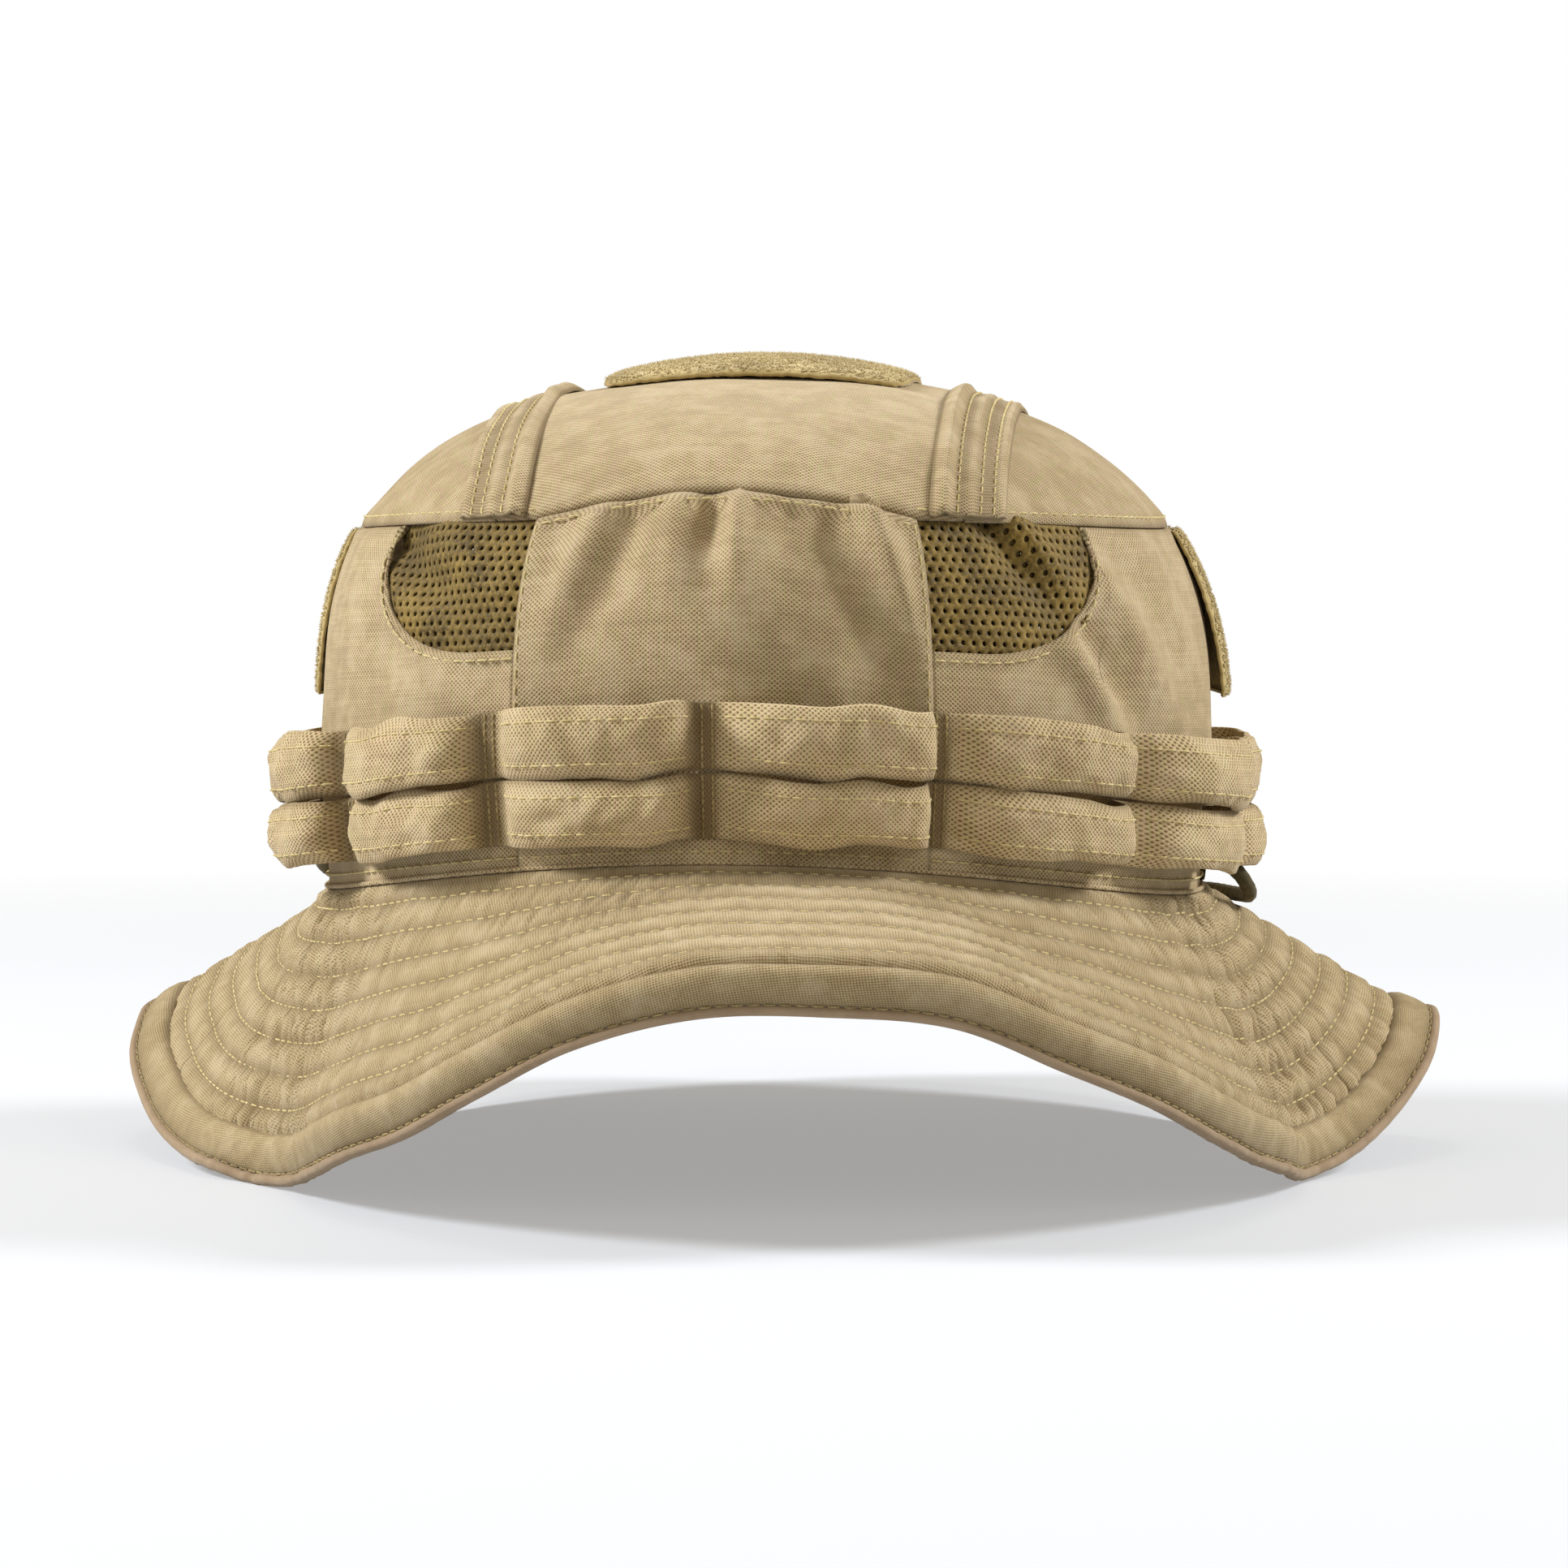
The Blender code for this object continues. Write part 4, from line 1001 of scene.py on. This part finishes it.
def net_layer(shift):
    """Flat places and faces of a net of twelve-sided rings, so that every hole is a real one."""
    turn_step = math.degrees(NET_PITCH / MEAN_RADIUS)
    rise_step = NET_PITCH * math.sqrt(3) / 2 / CROWN_HEIGHT
    rows = int((TOP_SEAM + 0.05 - VENT_BOTTOM) / rise_step) + 3
    columns = int((VENT_EDGE - PANEL_EDGE) / turn_step) + 3
    spokes = np.radians(np.arange(12) * 30 + 30)
    reach = np.where(np.arange(12) % 2 == 0, 1 / math.cos(math.radians(30)), 1.0) / 2
    outer = np.stack((np.cos(spokes) * reach, np.sin(spokes) * reach), axis=1)
    inner = np.stack((np.cos(spokes), np.sin(spokes)), axis=1) * NET_HOLE
    ring = np.concatenate((outer, inner)) * (turn_step, rise_step * 2 / math.sqrt(3))
    index = np.arange(12)
    after = (index + 1) % 12
    cell = np.stack((index, after, 12 + after, 12 + index), axis=1)
    places, faces = [], []
    for row in range(rows):
        for column in range(columns):
            turn = PANEL_EDGE - 1.2 + turn_step * (column + 0.5 * (row % 2) + shift)
            rise = VENT_BOTTOM - 0.02 + rise_step * row
            inside = lower_edge(np.array(turn)) - 0.03 < rise < top_seam(np.array(turn)) + 0.015
            if inside and turn <= VENT_EDGE + 0.8:
                faces.append(cell + 24 * len(places))
                places.append(np.array((turn, rise)) + ring)
    return np.concatenate(places), np.concatenate(faces)


def add_vent(name, side, rear):
    """Mesh vent: two layers of net, the inner one's holes between the outer one's, and the inner one
    painted in full shade.
    """
    front_net, front_faces = net_layer(0.0)
    back_net, back_faces = net_layer(0.5)
    flat = np.concatenate((front_net, back_net))
    faces = np.concatenate((front_faces, back_faces + len(front_net)))
    inner = np.arange(len(flat)) >= len(front_net)
    turn, rise = flat[:, 0], flat[:, 1]
    folds = vent_folds(turn, rise, side, rear) * smooth(PANEL_EDGE, PANEL_EDGE + 3, turn)
    room = np.where(rise < lower_edge(turn), 0.0, 0.3 * vent_distance(turn, rise))
    folds = np.minimum(folds, room)
    out = -1.3 * MM + folds - np.where(inner, 1.1 * MM, 0)
    angle = side * (180 - turn if rear else turn)
    if (side < 0) != rear:
        faces = faces[:, ::-1]
    # painted shade: all of the inner layer, and the valleys of the outer layer's folds
    painted_shade = np.where(inner, 1.0, 0.35 * smooth(0.3 * MM, -1.2 * MM, folds))
    vent = make_mesh(name + "_net", wall(angle, rise, out), faces.tolist(), painted_shade=painted_shade)
    with edited(vent.data) as shape:
        bmesh.ops.remove_doubles(shape, verts=shape.verts, dist=0.15 * MM)
    dress(vent, NET, [name], 0.5 * MM)


def top_folds(x, y):
    """Gentle unevenness of the crown's top."""
    return 0.6 * MM * creases(x / 22 / MM, y / 26 / MM, 71)


def add_top_centre():
    u, v = grid(100, 160)
    x = between(-TOP_CUT, TOP_CUT, u)
    front, rear = top_edge(x, True), top_edge(x, False)
    y = between(front, rear, v)
    distance = np.minimum(y - front, rear - y)
    out = edge_roll(distance, 0.4 * MM) + top_folds(x, y) * smooth(0, 9 * MM, distance)
    cloth = make_sheet("crown_top_center_cloth", top(x, y, out), seam_shade(distance))
    dress(cloth, CANVAS, ["crown_top_center"], CLOTH_THICKNESS)


def add_top_side(name, side):
    u, v = grid(60, 160)
    front, rear = float(top_edge(STRAP_X, True)), float(top_edge(STRAP_X, False))
    y = between(front, rear, (1 - np.cos(math.pi * v)) / 2)
    outer = top_side_width(y)
    x = between(TOP_CUT, outer, u)
    distance = outer - x
    folds = top_folds(side * x + 0.2, y) * smooth(0, 7 * MM, distance) * smooth(0, 5 * MM, x - TOP_CUT)
    points = top(side * x, y, edge_roll(distance, 0.4 * MM) + folds)
    painted_shade = seam_shade(distance)
    if side < 0:
        points, painted_shade = points[:, ::-1], painted_shade[:, ::-1]
    cloth = make_sheet(name + "_cloth", points, painted_shade)
    dress(cloth, CANVAS, [name], CLOTH_THICKNESS)


# Ridges over a strap's width: height in millimetres, place and width.
STRAP_RIDGES = [(1.5, -0.7, 0.2), (0.5, 0.0, 0.16), (0.6, 0.82, 0.14)]


def strap_relief(across):
    """Height of a strap over its width, -1 inner edge to 1 outer edge: a raised inner ridge."""
    rounded = np.sqrt(np.maximum(0.0, 1 - np.abs(across) ** 14))
    ridges = sum(height * hump(across, place, width) for height, place, width in STRAP_RIDGES)
    return (0.1 + 0.8 * rounded + ridges) * MM


def strap_point(side, across, share, lift=0.0):
    x = side * (STRAP_X + across * STRAP_WIDTH / 2)
    y = between(top_edge(x, True) + 0.2 * MM, top_edge(x, False) - 0.2 * MM, share)
    wave = 0.3 * MM * value_noise(share * 14, across * 1.5, 81 + side)
    return top(x, y, strap_relief(across) + wave + lift)


def add_top_strap(name, side):
    u, v = grid(30, 130)
    across = np.sin((u - 0.5) * math.pi) * (side if side < 0 else 1)
    relief = strap_relief(across)
    # painted shade where the strap is low: at its edges and between its ridges
    strap = make_sheet(name + "_cloth", strap_point(side, across, v),
                       0.8 * smooth(1.4 * MM, 0.6 * MM, relief))
    dress(strap, CANVAS, [name], 0.9 * MM)
    share = np.linspace(0.0, 1.0, 200)
    runs = [run_over(strap_point, side, line, share) for line in STRAP_LINES]
    add_stitches(name + "_stitches", runs)


# ---------------------------------------------------------------- pile pads

TUFT_RADIUS = 0.2 * MM
TUFTS_PER_SQUARE_MM = 3.0


def pad_height(u, v, thickness):
    """Height of a pile pad over its face, u and v from -1 to 1, full in its middle."""
    full = 0.62 + 0.6 * (1 - u ** 2) * (1 - v ** 2)
    return thickness * full * np.maximum(0.0, (1 - u ** 14) * (1 - v ** 14)) ** 0.3


def add_pile(name, place, size, thickness, node_name, seed):
    """A pad of brushed loop pile: a soft face and thousands of short tufts standing on it."""
    width, length = size
    columns, rows = int(width / (0.5 * MM)), int(length / (0.5 * MM))
    u, v = grid(columns, rows)
    u, v = np.sin((u - 0.5) * math.pi * 0.98) / 0.9995, np.sin((v - 0.5) * math.pi * 0.98) / 0.9995
    rough = 0.16 * MM * value_noise(u * width / 2 / (0.8 * MM), v * length / 2 / (0.8 * MM), seed)
    height = pad_height(u, v, thickness)
    # painted shade where the pad is thin, towards its edges
    pad = make_sheet(name, place(u, v, height + rough), smooth(0.7, 0.1, height / thickness))
    dress(pad, PILE, [node_name], 0.7 * MM)
    random = np.random.default_rng(seed)
    count = int(width * length / MM ** 2 * TUFTS_PER_SQUARE_MM)
    u, v = random.uniform(-0.985, 0.985, count), random.uniform(-0.985, 0.985, count)
    tall = random.uniform(0.35, 0.85, count) * MM
    lean = random.normal(0, 0.28, (count, 2)) * MM
    base = pad_height(u, v, thickness) - 0.1 * MM
    turn = random.uniform(0, 2 * np.pi, count)
    corners = []
    for step in range(3):
        way = turn + step * 2 * np.pi / 3
        across, up = np.cos(way) * TUFT_RADIUS * 2 / width, np.sin(way) * TUFT_RADIUS * 2 / length
        corners.append(place(u + across, v + up, base))
    corners.append(place(u + lean[:, 0] * 2 / width, v + lean[:, 1] * 2 / length, base + tall))
    points = np.stack(corners, axis=1).reshape(-1, 3)
    sides = np.array(((0, 1, 3), (1, 2, 3), (2, 0, 3), (0, 2, 1)))
    faces = (sides[None] + 4 * np.arange(count)[:, None, None]).reshape(-1, 3)
    # painted shade at the tufts' roots, none at their tips
    painted_shade = np.tile((0.75, 0.75, 0.75, 0.0), count)
    tufts = make_mesh(name + "_tufts", points, faces.tolist(), painted_shade=painted_shade)
    dress(tufts, PILE)


def top_pad_point(u, v, out):
    x = u * (1 - 0.08 * v ** 8) * PAD_HALF_WIDTH
    y = v * (1 - 0.08 * u ** 8) * PAD_HALF_LENGTH
    return top(x, y, GAP + out)


def patch_point(side):
    def place(u, v, out):
        turn = between(PATCH_START, PATCH_END, (side * u + 1) / 2)
        rise = between(PATCH_LOW, PATCH_HIGH, (v + 1) / 2)
        # the lower front corner of the right patch has come loose
        loose = smooth(0.9, 2.0, (1 - side * u) / 2 + (1 - v) / 2) if side > 0 else 0.0
        return wall(side * turn, rise, GAP + out + 2.4 * MM * loose)
    return place


def add_pads():
    add_pile("top_pad_pile", top_pad_point, (2 * PAD_HALF_WIDTH, 2 * PAD_HALF_LENGTH), PAD_THICKNESS,
             "top_loop_pad", 5)
    length = math.radians(PATCH_END - PATCH_START) * MEAN_RADIUS
    height = (PATCH_HIGH - PATCH_LOW) * CROWN_HEIGHT
    for name, side in (("left", -1), ("right", 1)):
        add_pile(f"side_patch_pile_{name}", patch_point(side), (length, height), PATCH_THICKNESS,
                 f"side_loop_patch_{name}", 6 + side)


# ---------------------------------------------------------------- foliage band

LOOP_RANDOM = np.random.default_rng(97)
LOOP_FULLNESS = {"lower": LOOP_RANDOM.uniform(0.82, 1.02, LOOP_COUNT),
                 "upper": LOOP_RANDOM.uniform(0.82, 1.02, LOOP_COUNT)}
LOOP_LEAN = {"lower": LOOP_RANDOM.uniform(-1.3, 0.5, LOOP_COUNT) * MM,
             "upper": LOOP_RANDOM.uniform(-1.1, 1.1, LOOP_COUNT) * MM}
TACK_SHARE = 0.14
# Length of strip in one loop, along the cloth.
LOOP_CLOTH = 54 * MM


def band_point(strip, place, share, lift=0.0):
    """A point on a strip: place counts loops from the first tack, share goes up its height."""
    place, share, lift = alike(place, share, lift)
    loop = np.floor(place).astype(int) % LOOP_COUNT
    local = 2 * (place - np.floor(place)) - 1
    inner = np.clip(np.abs(local) / (1 - TACK_SHARE), 0, 1)
    # a loop rises gently on its left and stands up boxy on its right
    full = (1 - inner ** np.where(local < 0, 3.0, 5.0)) ** np.where(local < 0, 0.75, 0.6)
    angle = FIRST_TACK + 360 * place / LOOP_COUNT
    side = np.sin(np.radians(angle)) ** 2
    bulge = (LOOP_BULGE + LOOP_SIDE_BULGE * side) * LOOP_FULLNESS[strip][loop]
    lean = LOOP_LEAN[strip][loop] * (2 * share - 1) * full
    level = share * 2.2 + (20 if strip == "upper" else 0)
    ripple = (0.8 * value_noise(place * 6, level, 101) + 0.55 * creases(place * 15, level * 2, 102)) * MM
    rounded = -2.0 * MM * np.abs(2 * share - 1) ** 2.6
    out = GAP + bulge * full + lean + (ripple + rounded) * smooth(0, 0.6, full) + lift
    # each loop is pushed a little towards the right, so that its far end overhangs the tack
    skew = 0.08 * full * (0.65 + 0.35 * np.sin(7.1 * loop + (2 if strip == "upper" else 0)))
    angle = angle + skew * 360 / LOOP_COUNT
    edge = 1.0 * MM * value_noise(place * 5.2, np.where(share > 0.5, 30.0, 10.0), 103) * full
    base = seam_point(angle)
    height = STRIP_BOTTOMS[strip] + STRIP_HEIGHT * share + edge * (2 * share - 1) ** 2
    return wall(angle, height / (APEX_HEIGHT - base[..., 2]), out)


def strip_section():
    """Cross-section of a strip: up its face, round its top edge, down its back and round."""
    face = np.linspace(0.03, 0.97, 12)
    half = STRIP_THICKNESS / 2
    turn = np.radians((60, 30, 0, -30, -60))
    edge = 0.03 * np.cos(turn)
    share = np.concatenate((face, 0.97 + edge, face[::-1], 0.03 - edge))
    flat, rolled = np.full(12, half), half * np.sin(turn)
    return share, np.concatenate((flat, rolled, -flat, -rolled)) + half


def add_foliage_strip(strip):
    share, lift = strip_section()
    place = np.linspace(0, LOOP_COUNT, LOOP_COUNT * 40, endpoint=False)
    place, share_grid = np.meshgrid(place, share)
    points = band_point(strip, place, share_grid, lift[:, None])
    local = 2 * (place % 1) - 1
    # Painted shade in the tack valleys, deepest at each loop's right end, on the strip's back and along
    # the slit between the strips.
    valley = np.where(local > 0, smooth(0.74, 0.92, local), smooth(0.86, 0.97, -local))
    back = np.broadcast_to((lift < STRIP_THICKNESS * 0.4)[:, None], place.shape)
    slit = smooth(0.9, 1.0, share_grid) if strip == "lower" else smooth(0.1, 0.0, share_grid)
    painted_shade = 0.95 * valley + 0.35 * back + 0.6 * slit
    around = np.linspace(0, LOOP_COUNT, place.shape[1] + 1) * LOOP_CLOTH
    section = np.stack((share * STRIP_HEIGHT, lift), axis=-1)
    up = distances(np.concatenate((section, section[:1])))
    flat = np.stack(np.meshgrid(around, up), axis=-1)
    cloth = make_sheet(f"foliage_band_{strip}_cloth", points, painted_shade, flat, True, True)
    dress(cloth, BAND, [f"foliage_band_{strip}"])
    runs = []
    for loop in range(LOOP_COUNT):
        line = np.linspace(loop + 0.07, loop + 0.95, 90)
        for height in BAND_LINES:
            runs.append(run_over(band_point, strip, line, height, out=STRIP_THICKNESS))
    add_stitches(f"foliage_band_{strip}_stitches", runs)


def add_tacks():
    """Dense upright stitch lines that hold both strips down between the loops."""
    runs = []
    for loop in range(LOOP_COUNT):
        for strip in STRIP_BOTTOMS:
            share = np.linspace(0.02, 0.98, 30)
            for shift in (-TACK_SHIFT, TACK_SHIFT):
                runs.append(run_over(band_point, strip, loop + shift, share, out=STRIP_THICKNESS,
                                     pitch=TACK_PITCH, length=TACK_LENGTH))
    add_stitches("foliage_band_tacks", runs, DARK_SEWING, TACK_RADIUS)


# ---------------------------------------------------------------- brim

def corner_weight(angle):
    """1 at the brim's drooping corners, where its cloth puckers most."""
    turn = (np.asarray(angle) + 180) % 360 - 180
    front = hump(turn, 77, 19) + 0.9 * hump(turn, -63, 17)
    return np.clip(front + 0.7 * hump(np.abs(turn), 133, 20), 0, 1)


def brim_relief(angle, along):
    """Stand-off of the quilted cloth, and painted shade where it lies in a groove between rows or in a
    pucker's valley.
    """
    row = (along / brim_width(angle) - FIRST_ROW) / ROW_STEP
    row = np.minimum(row, BRIM_ROWS - 1 + np.clip(row - BRIM_ROWS + 1, 0, 1.2) / 1.2)
    puff = np.abs(np.sin(np.pi * row)) ** 0.6
    turn = (np.asarray(angle) + 180) % 360 - 180
    round_place = turn * 2.3
    bands = row + 0.35 * value_noise(round_place / 11, row, 111)
    # small radial folds between the rows: sharp valleys, round ridges
    folds = value_noise(round_place / 1.7, bands * 0.8, 113)
    folds += 0.6 * value_noise(round_place / 1.1, bands, 115)
    pucker = 1 - 2.2 * np.abs(folds) ** 0.8
    weight = corner_weight(angle)
    centre = hump(turn, -9, 9) * hump(row, 1.2, 1.3) + 0.5 * hump(turn, -28, 9) * hump(row, 1.0, 1.2)
    out = (0.55 + 0.3 * weight) * puff + (0.14 + 0.85 * weight + 0.4 * centre) * pucker * puff
    out += (0.2 + 0.8 * weight) * value_noise(round_place / 8, row / 2.5, 117)
    valley = np.clip(-pucker, 0, 1) * (0.1 + 0.9 * np.clip(weight + 0.5 * centre, 0, 1))
    return out * MM, 0.9 * (1 - puff) + 0.7 * valley


def brim_cut(angle, along):
    """Place of the brim's cloth before it was sewn, for the run of its weave."""
    reach = MEAN_RADIUS + along
    return np.stack((reach * np.sin(np.radians(angle)), -reach * np.cos(np.radians(angle))), axis=-1)


def under_hem(angle, along):
    """How far a layer of the brim sinks to lie inside the hem."""
    return 2.0 * MM * smooth(12 * MM, 8 * MM, brim_width(angle) - along)


def add_brim_half(name, middle):
    u, v = grid(460, 84)
    angle = middle + between(-90, 90, u)
    along = brim_width(angle) - between(1.2 * MM, brim_width(angle) - 0.1 * MM, v)
    out, painted_shade = brim_relief(angle, along)
    near_seam = smooth(0, 2.5 * MM, along)
    out = out * near_seam * smooth(0, 1.5 * MM, (1 - np.abs(2 * u - 1)) * 150 * MM)
    out = out - under_hem(angle, along)
    cloth = make_sheet(f"brim_top_{name}_cloth", brim(angle, along, out), painted_shade, brim_cut(angle, along))
    dress(cloth, BRIM_CLOTH, [f"brim_top_{name}"], 0.6 * MM)


def underside_out(angle, along):
    out, painted_shade = brim_relief(angle, along)
    return -2.6 * MM + 0.35 * out - 0.35 * MM * (1 - painted_shade), painted_shade


def add_brim_underside(name, middle):
    u, v = grid(300, 60)
    angle = middle + between(-90, 90, u)
    along = between(0.4 * MM, brim_width(angle) - 1.2 * MM, v)
    out, painted_shade = underside_out(angle, along)
    cloth = make_sheet(f"brim_underside_{name}_cloth", brim(angle, along, out), 0.7 * painted_shade,
                       brim_cut(angle, along))
    dress(cloth, BRIM_CLOTH, [f"brim_underside_{name}"], 0.5 * MM)


def add_stiffener():
    u, v = grid(360, 40, closed=True)
    angle = 360 * u
    along = brim_width(angle) - between(2 * MM, brim_width(angle) - 1.2 * MM, v)
    out = -1.2 * MM + 0.6 * brim_relief(angle, along)[0] - 0.5 * under_hem(angle, along)
    layer = make_sheet("brim_stiffener_layer", brim(angle, along, out), wrap_columns=True)
    dress(layer, FOAM, ["brim_stiffener"], 0.4 * MM)


# Hem, round its section: distance in from the edge, height above the brim, and shade.
HEM_ROLL = [(10.6, -1.0, 1.0), (9.9, -0.2, 0.8), (9.0, 0.65, 0.15), (7.6, 0.95, 0.1), (6.2, 0.75, 0.2),
            (4.8, 0.3, 0.35), (3.4, -0.25, 0.5), (2.5, -0.75, 0.7), (2.0, -1.25, 1.0)]
HEM_FACING = [(2.1, -1.4, 1.0), (1.6, -0.95, 0.4), (1.0, -0.8, 0.1), (0.4, -1.0, 0.0), (0.0, -1.5, 0.0),
              (-0.1, -2.2, 0.0), (0.0, -3.0, 0.0), (0.6, -3.6, 0.1), (1.5, -3.9, 0.2), (2.1, -3.6, 0.8),
              (2.8, -3.9, 0.2), (5.0, -3.9, 0.1), (8.0, -3.8, 0.1), (9.2, -3.5, 0.5)]
HEM_STITCH = 2.0 * MM


def hem_wave(angle):
    """Slow unevenness of the hem, more at the corners."""
    place = np.asarray(angle) * 2.5
    return 0.5 * MM * value_noise(place / 16, 0.0, 121) * (0.4 + corner_weight(angle))


def add_hem_strip(name, section, material, seed):
    inset, height, shade = (np.array(column) for column in zip(*section))
    angle, inset_grid = np.meshgrid(np.linspace(-180, 180, 1000, endpoint=False), inset * MM)
    fold = value_noise(angle * 2.5 / 2.4, inset_grid / (3 * MM), seed) * (0.2 + corner_weight(angle))
    points = brim(angle, brim_width(angle) - inset_grid,
                  (height * MM)[:, None] + 0.4 * MM * fold + hem_wave(angle))
    painted_shade = np.broadcast_to(shade[:, None], angle.shape)
    strip = make_sheet(name, points[::-1], painted_shade[::-1], wrap_columns=True)
    return dress(strip, material, thickness=0.5 * MM)


def add_binding():
    """The bound hem: a roll on top, and a smooth facing from its stitch line round underneath."""
    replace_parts(add_hem_strip("brim_edge_binding_cloth", HEM_ROLL, BRIM_CLOTH, 123), "brim_edge_binding")
    add_hem_strip("brim_edge_binding_facing", HEM_FACING, FACING, 125)


def add_brim_stitches():
    angle = np.linspace(-180, 180, 1441)
    width = brim_width(angle)
    upper, lower = [], []
    for row in range(BRIM_ROWS):
        along = width * (FIRST_ROW + ROW_STEP * row)
        upper.append(run_over(brim, angle, along, out=brim_relief(angle, along)[0]))
        under = underside_out(angle, along)[0] - 0.55 * MM
        lower.append(run_over(brim, angle[::-1], along[::-1], out=under[::-1]))
    add_stitches("brim_top_stitches", upper)
    hem = [run_over(brim, angle, width - HEM_STITCH, out=-1.15 * MM + hem_wave(angle))]
    add_stitches("brim_hem_stitches", hem, DARK_SEWING)
    add_stitches("brim_underside_stitches", lower)


# ---------------------------------------------------------------- crown seams and inside

def add_base_seam():
    """The rolled edge where the crown meets the brim, with its stitch line above."""
    angle = np.linspace(-180, 180, 900, endpoint=False)
    rope = 0.45 * MM * (1 + 0.12 * np.sin(np.radians(angle) * 190))
    path = wall(angle, 0.004, 0.4 * MM)
    along = unit(np.roll(path, -1, axis=0) - np.roll(path, 1, axis=0))
    ways = ring_ways(along, (0.0, 0.0, 1.0), 10)
    points = (path[:, None] + ways * rope[:, None, None]).swapaxes(0, 1)
    seam = make_sheet("crown_base_seam", points[::-1], wrap_rows=True, wrap_columns=True)
    dress(seam, CANVAS)


def add_crown_stitches():
    front = np.linspace(-PANEL_EDGE + 1, PANEL_EDGE - 1, 200)
    runs = [run_over(wall, front + middle, top_seam(front) - 0.02, out=0.55 * MM) for middle in (0, 180)]
    rise = np.linspace(0.31, TOP_SEAM - 0.012, 120)
    for middle in (0, 180):
        for side in (-1, 1):
            runs.append(run_over(wall, middle + side * (PANEL_EDGE - 0.75), rise, out=0.5 * MM))
    for side in (-1, 1):
        for start, end in ((PANEL_EDGE, VENT_EDGE - 0.2), (180 - VENT_EDGE + 0.2, 180 - PANEL_EDGE)):
            turn = np.linspace(start, end, 240)
            runs.append(run_over(wall, side * turn, lower_edge(turn) - 0.018, out=0.15 * MM))
        turn = np.linspace(PANEL_EDGE, 180 - PANEL_EDGE, 500)
        runs.append(run_over(wall, side * turn, np.full_like(turn, TOP_SEAM + 0.016), out=0.15 * MM))
    angle = np.linspace(-180, 180, 1441)
    runs.append(run_over(wall, angle, 0.027, out=0.25 * MM))
    add_stitches("crown_stitches", runs)


def add_sweatband():
    u, v = grid(400, 24, closed=True)
    angle = 360 * u
    rise = (0.5 * MM + SWEATBAND_HEIGHT * v) / (APEX_HEIGHT - seam_height(angle))
    wave = 0.35 * MM * value_noise(angle / 9, v * 2, 131) * smooth(0, 0.4, v)
    roll = -0.5 * MM * smooth(0.86, 0.93, v)
    band = make_sheet("sweatband_cloth", wall(angle, rise, -SWEATBAND_INSET + wave + roll),
                      wrap_columns=True)
    dress(band, LINING, ["sweatband"], CLOTH_THICKNESS)
    line = np.linspace(0, 360, 1000)
    rise = SWEATBAND_STITCH / (APEX_HEIGHT - seam_height(line))
    inner = wall(line, rise, -SWEATBAND_INSET - 0.95 * MM)
    deeper = wall(line, rise, -SWEATBAND_INSET - 1.95 * MM)
    runs = [stitch_run(inner[::-1], deeper[::-1], STITCH_PITCH, STITCH_LENGTH)]
    add_stitches("sweatband_stitches", runs)


def finish_hardware():
    """Better finishes for the CAD pieces that stay as they are."""
    finishes = {"chin_cord_eyelet_left": BRASS, "chin_cord_eyelet_right": BRASS,
                "cord_lock_body": PLASTIC, "cord_lock_button": PLASTIC}
    for name, material in finishes.items():
        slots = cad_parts[name].material_slots
        for index in range(len(slots)):
            slots[index].material = material


# ---------------------------------------------------------------- the hat

add_camera()
add_cord()
add_studio()
add_floor()
for end_name, end_middle in (("front_panel", 0), ("rear_panel", 180)):
    add_end_panel(end_name, end_middle)
for side_name, side_sign in (("left", -1), ("right", 1)):
    add_side_panel("side_panel_" + side_name, side_sign)
    add_vent("mesh_vent_front_" + side_name, side_sign, False)
    add_vent("mesh_vent_rear_" + side_name, side_sign, True)
    add_top_side("crown_top_" + side_name, side_sign)
    add_top_strap("top_strap_" + side_name, side_sign)
add_top_centre()
add_pads()
for strip_name in STRIP_BOTTOMS:
    add_foliage_strip(strip_name)
add_tacks()
for half_name, half_middle in (("front", 0), ("rear", 180)):
    add_brim_half(half_name, half_middle)
    add_brim_underside(half_name, half_middle)
add_stiffener()
add_binding()
add_brim_stitches()
add_base_seam()
add_crown_stitches()
add_sweatband()
finish_hardware()
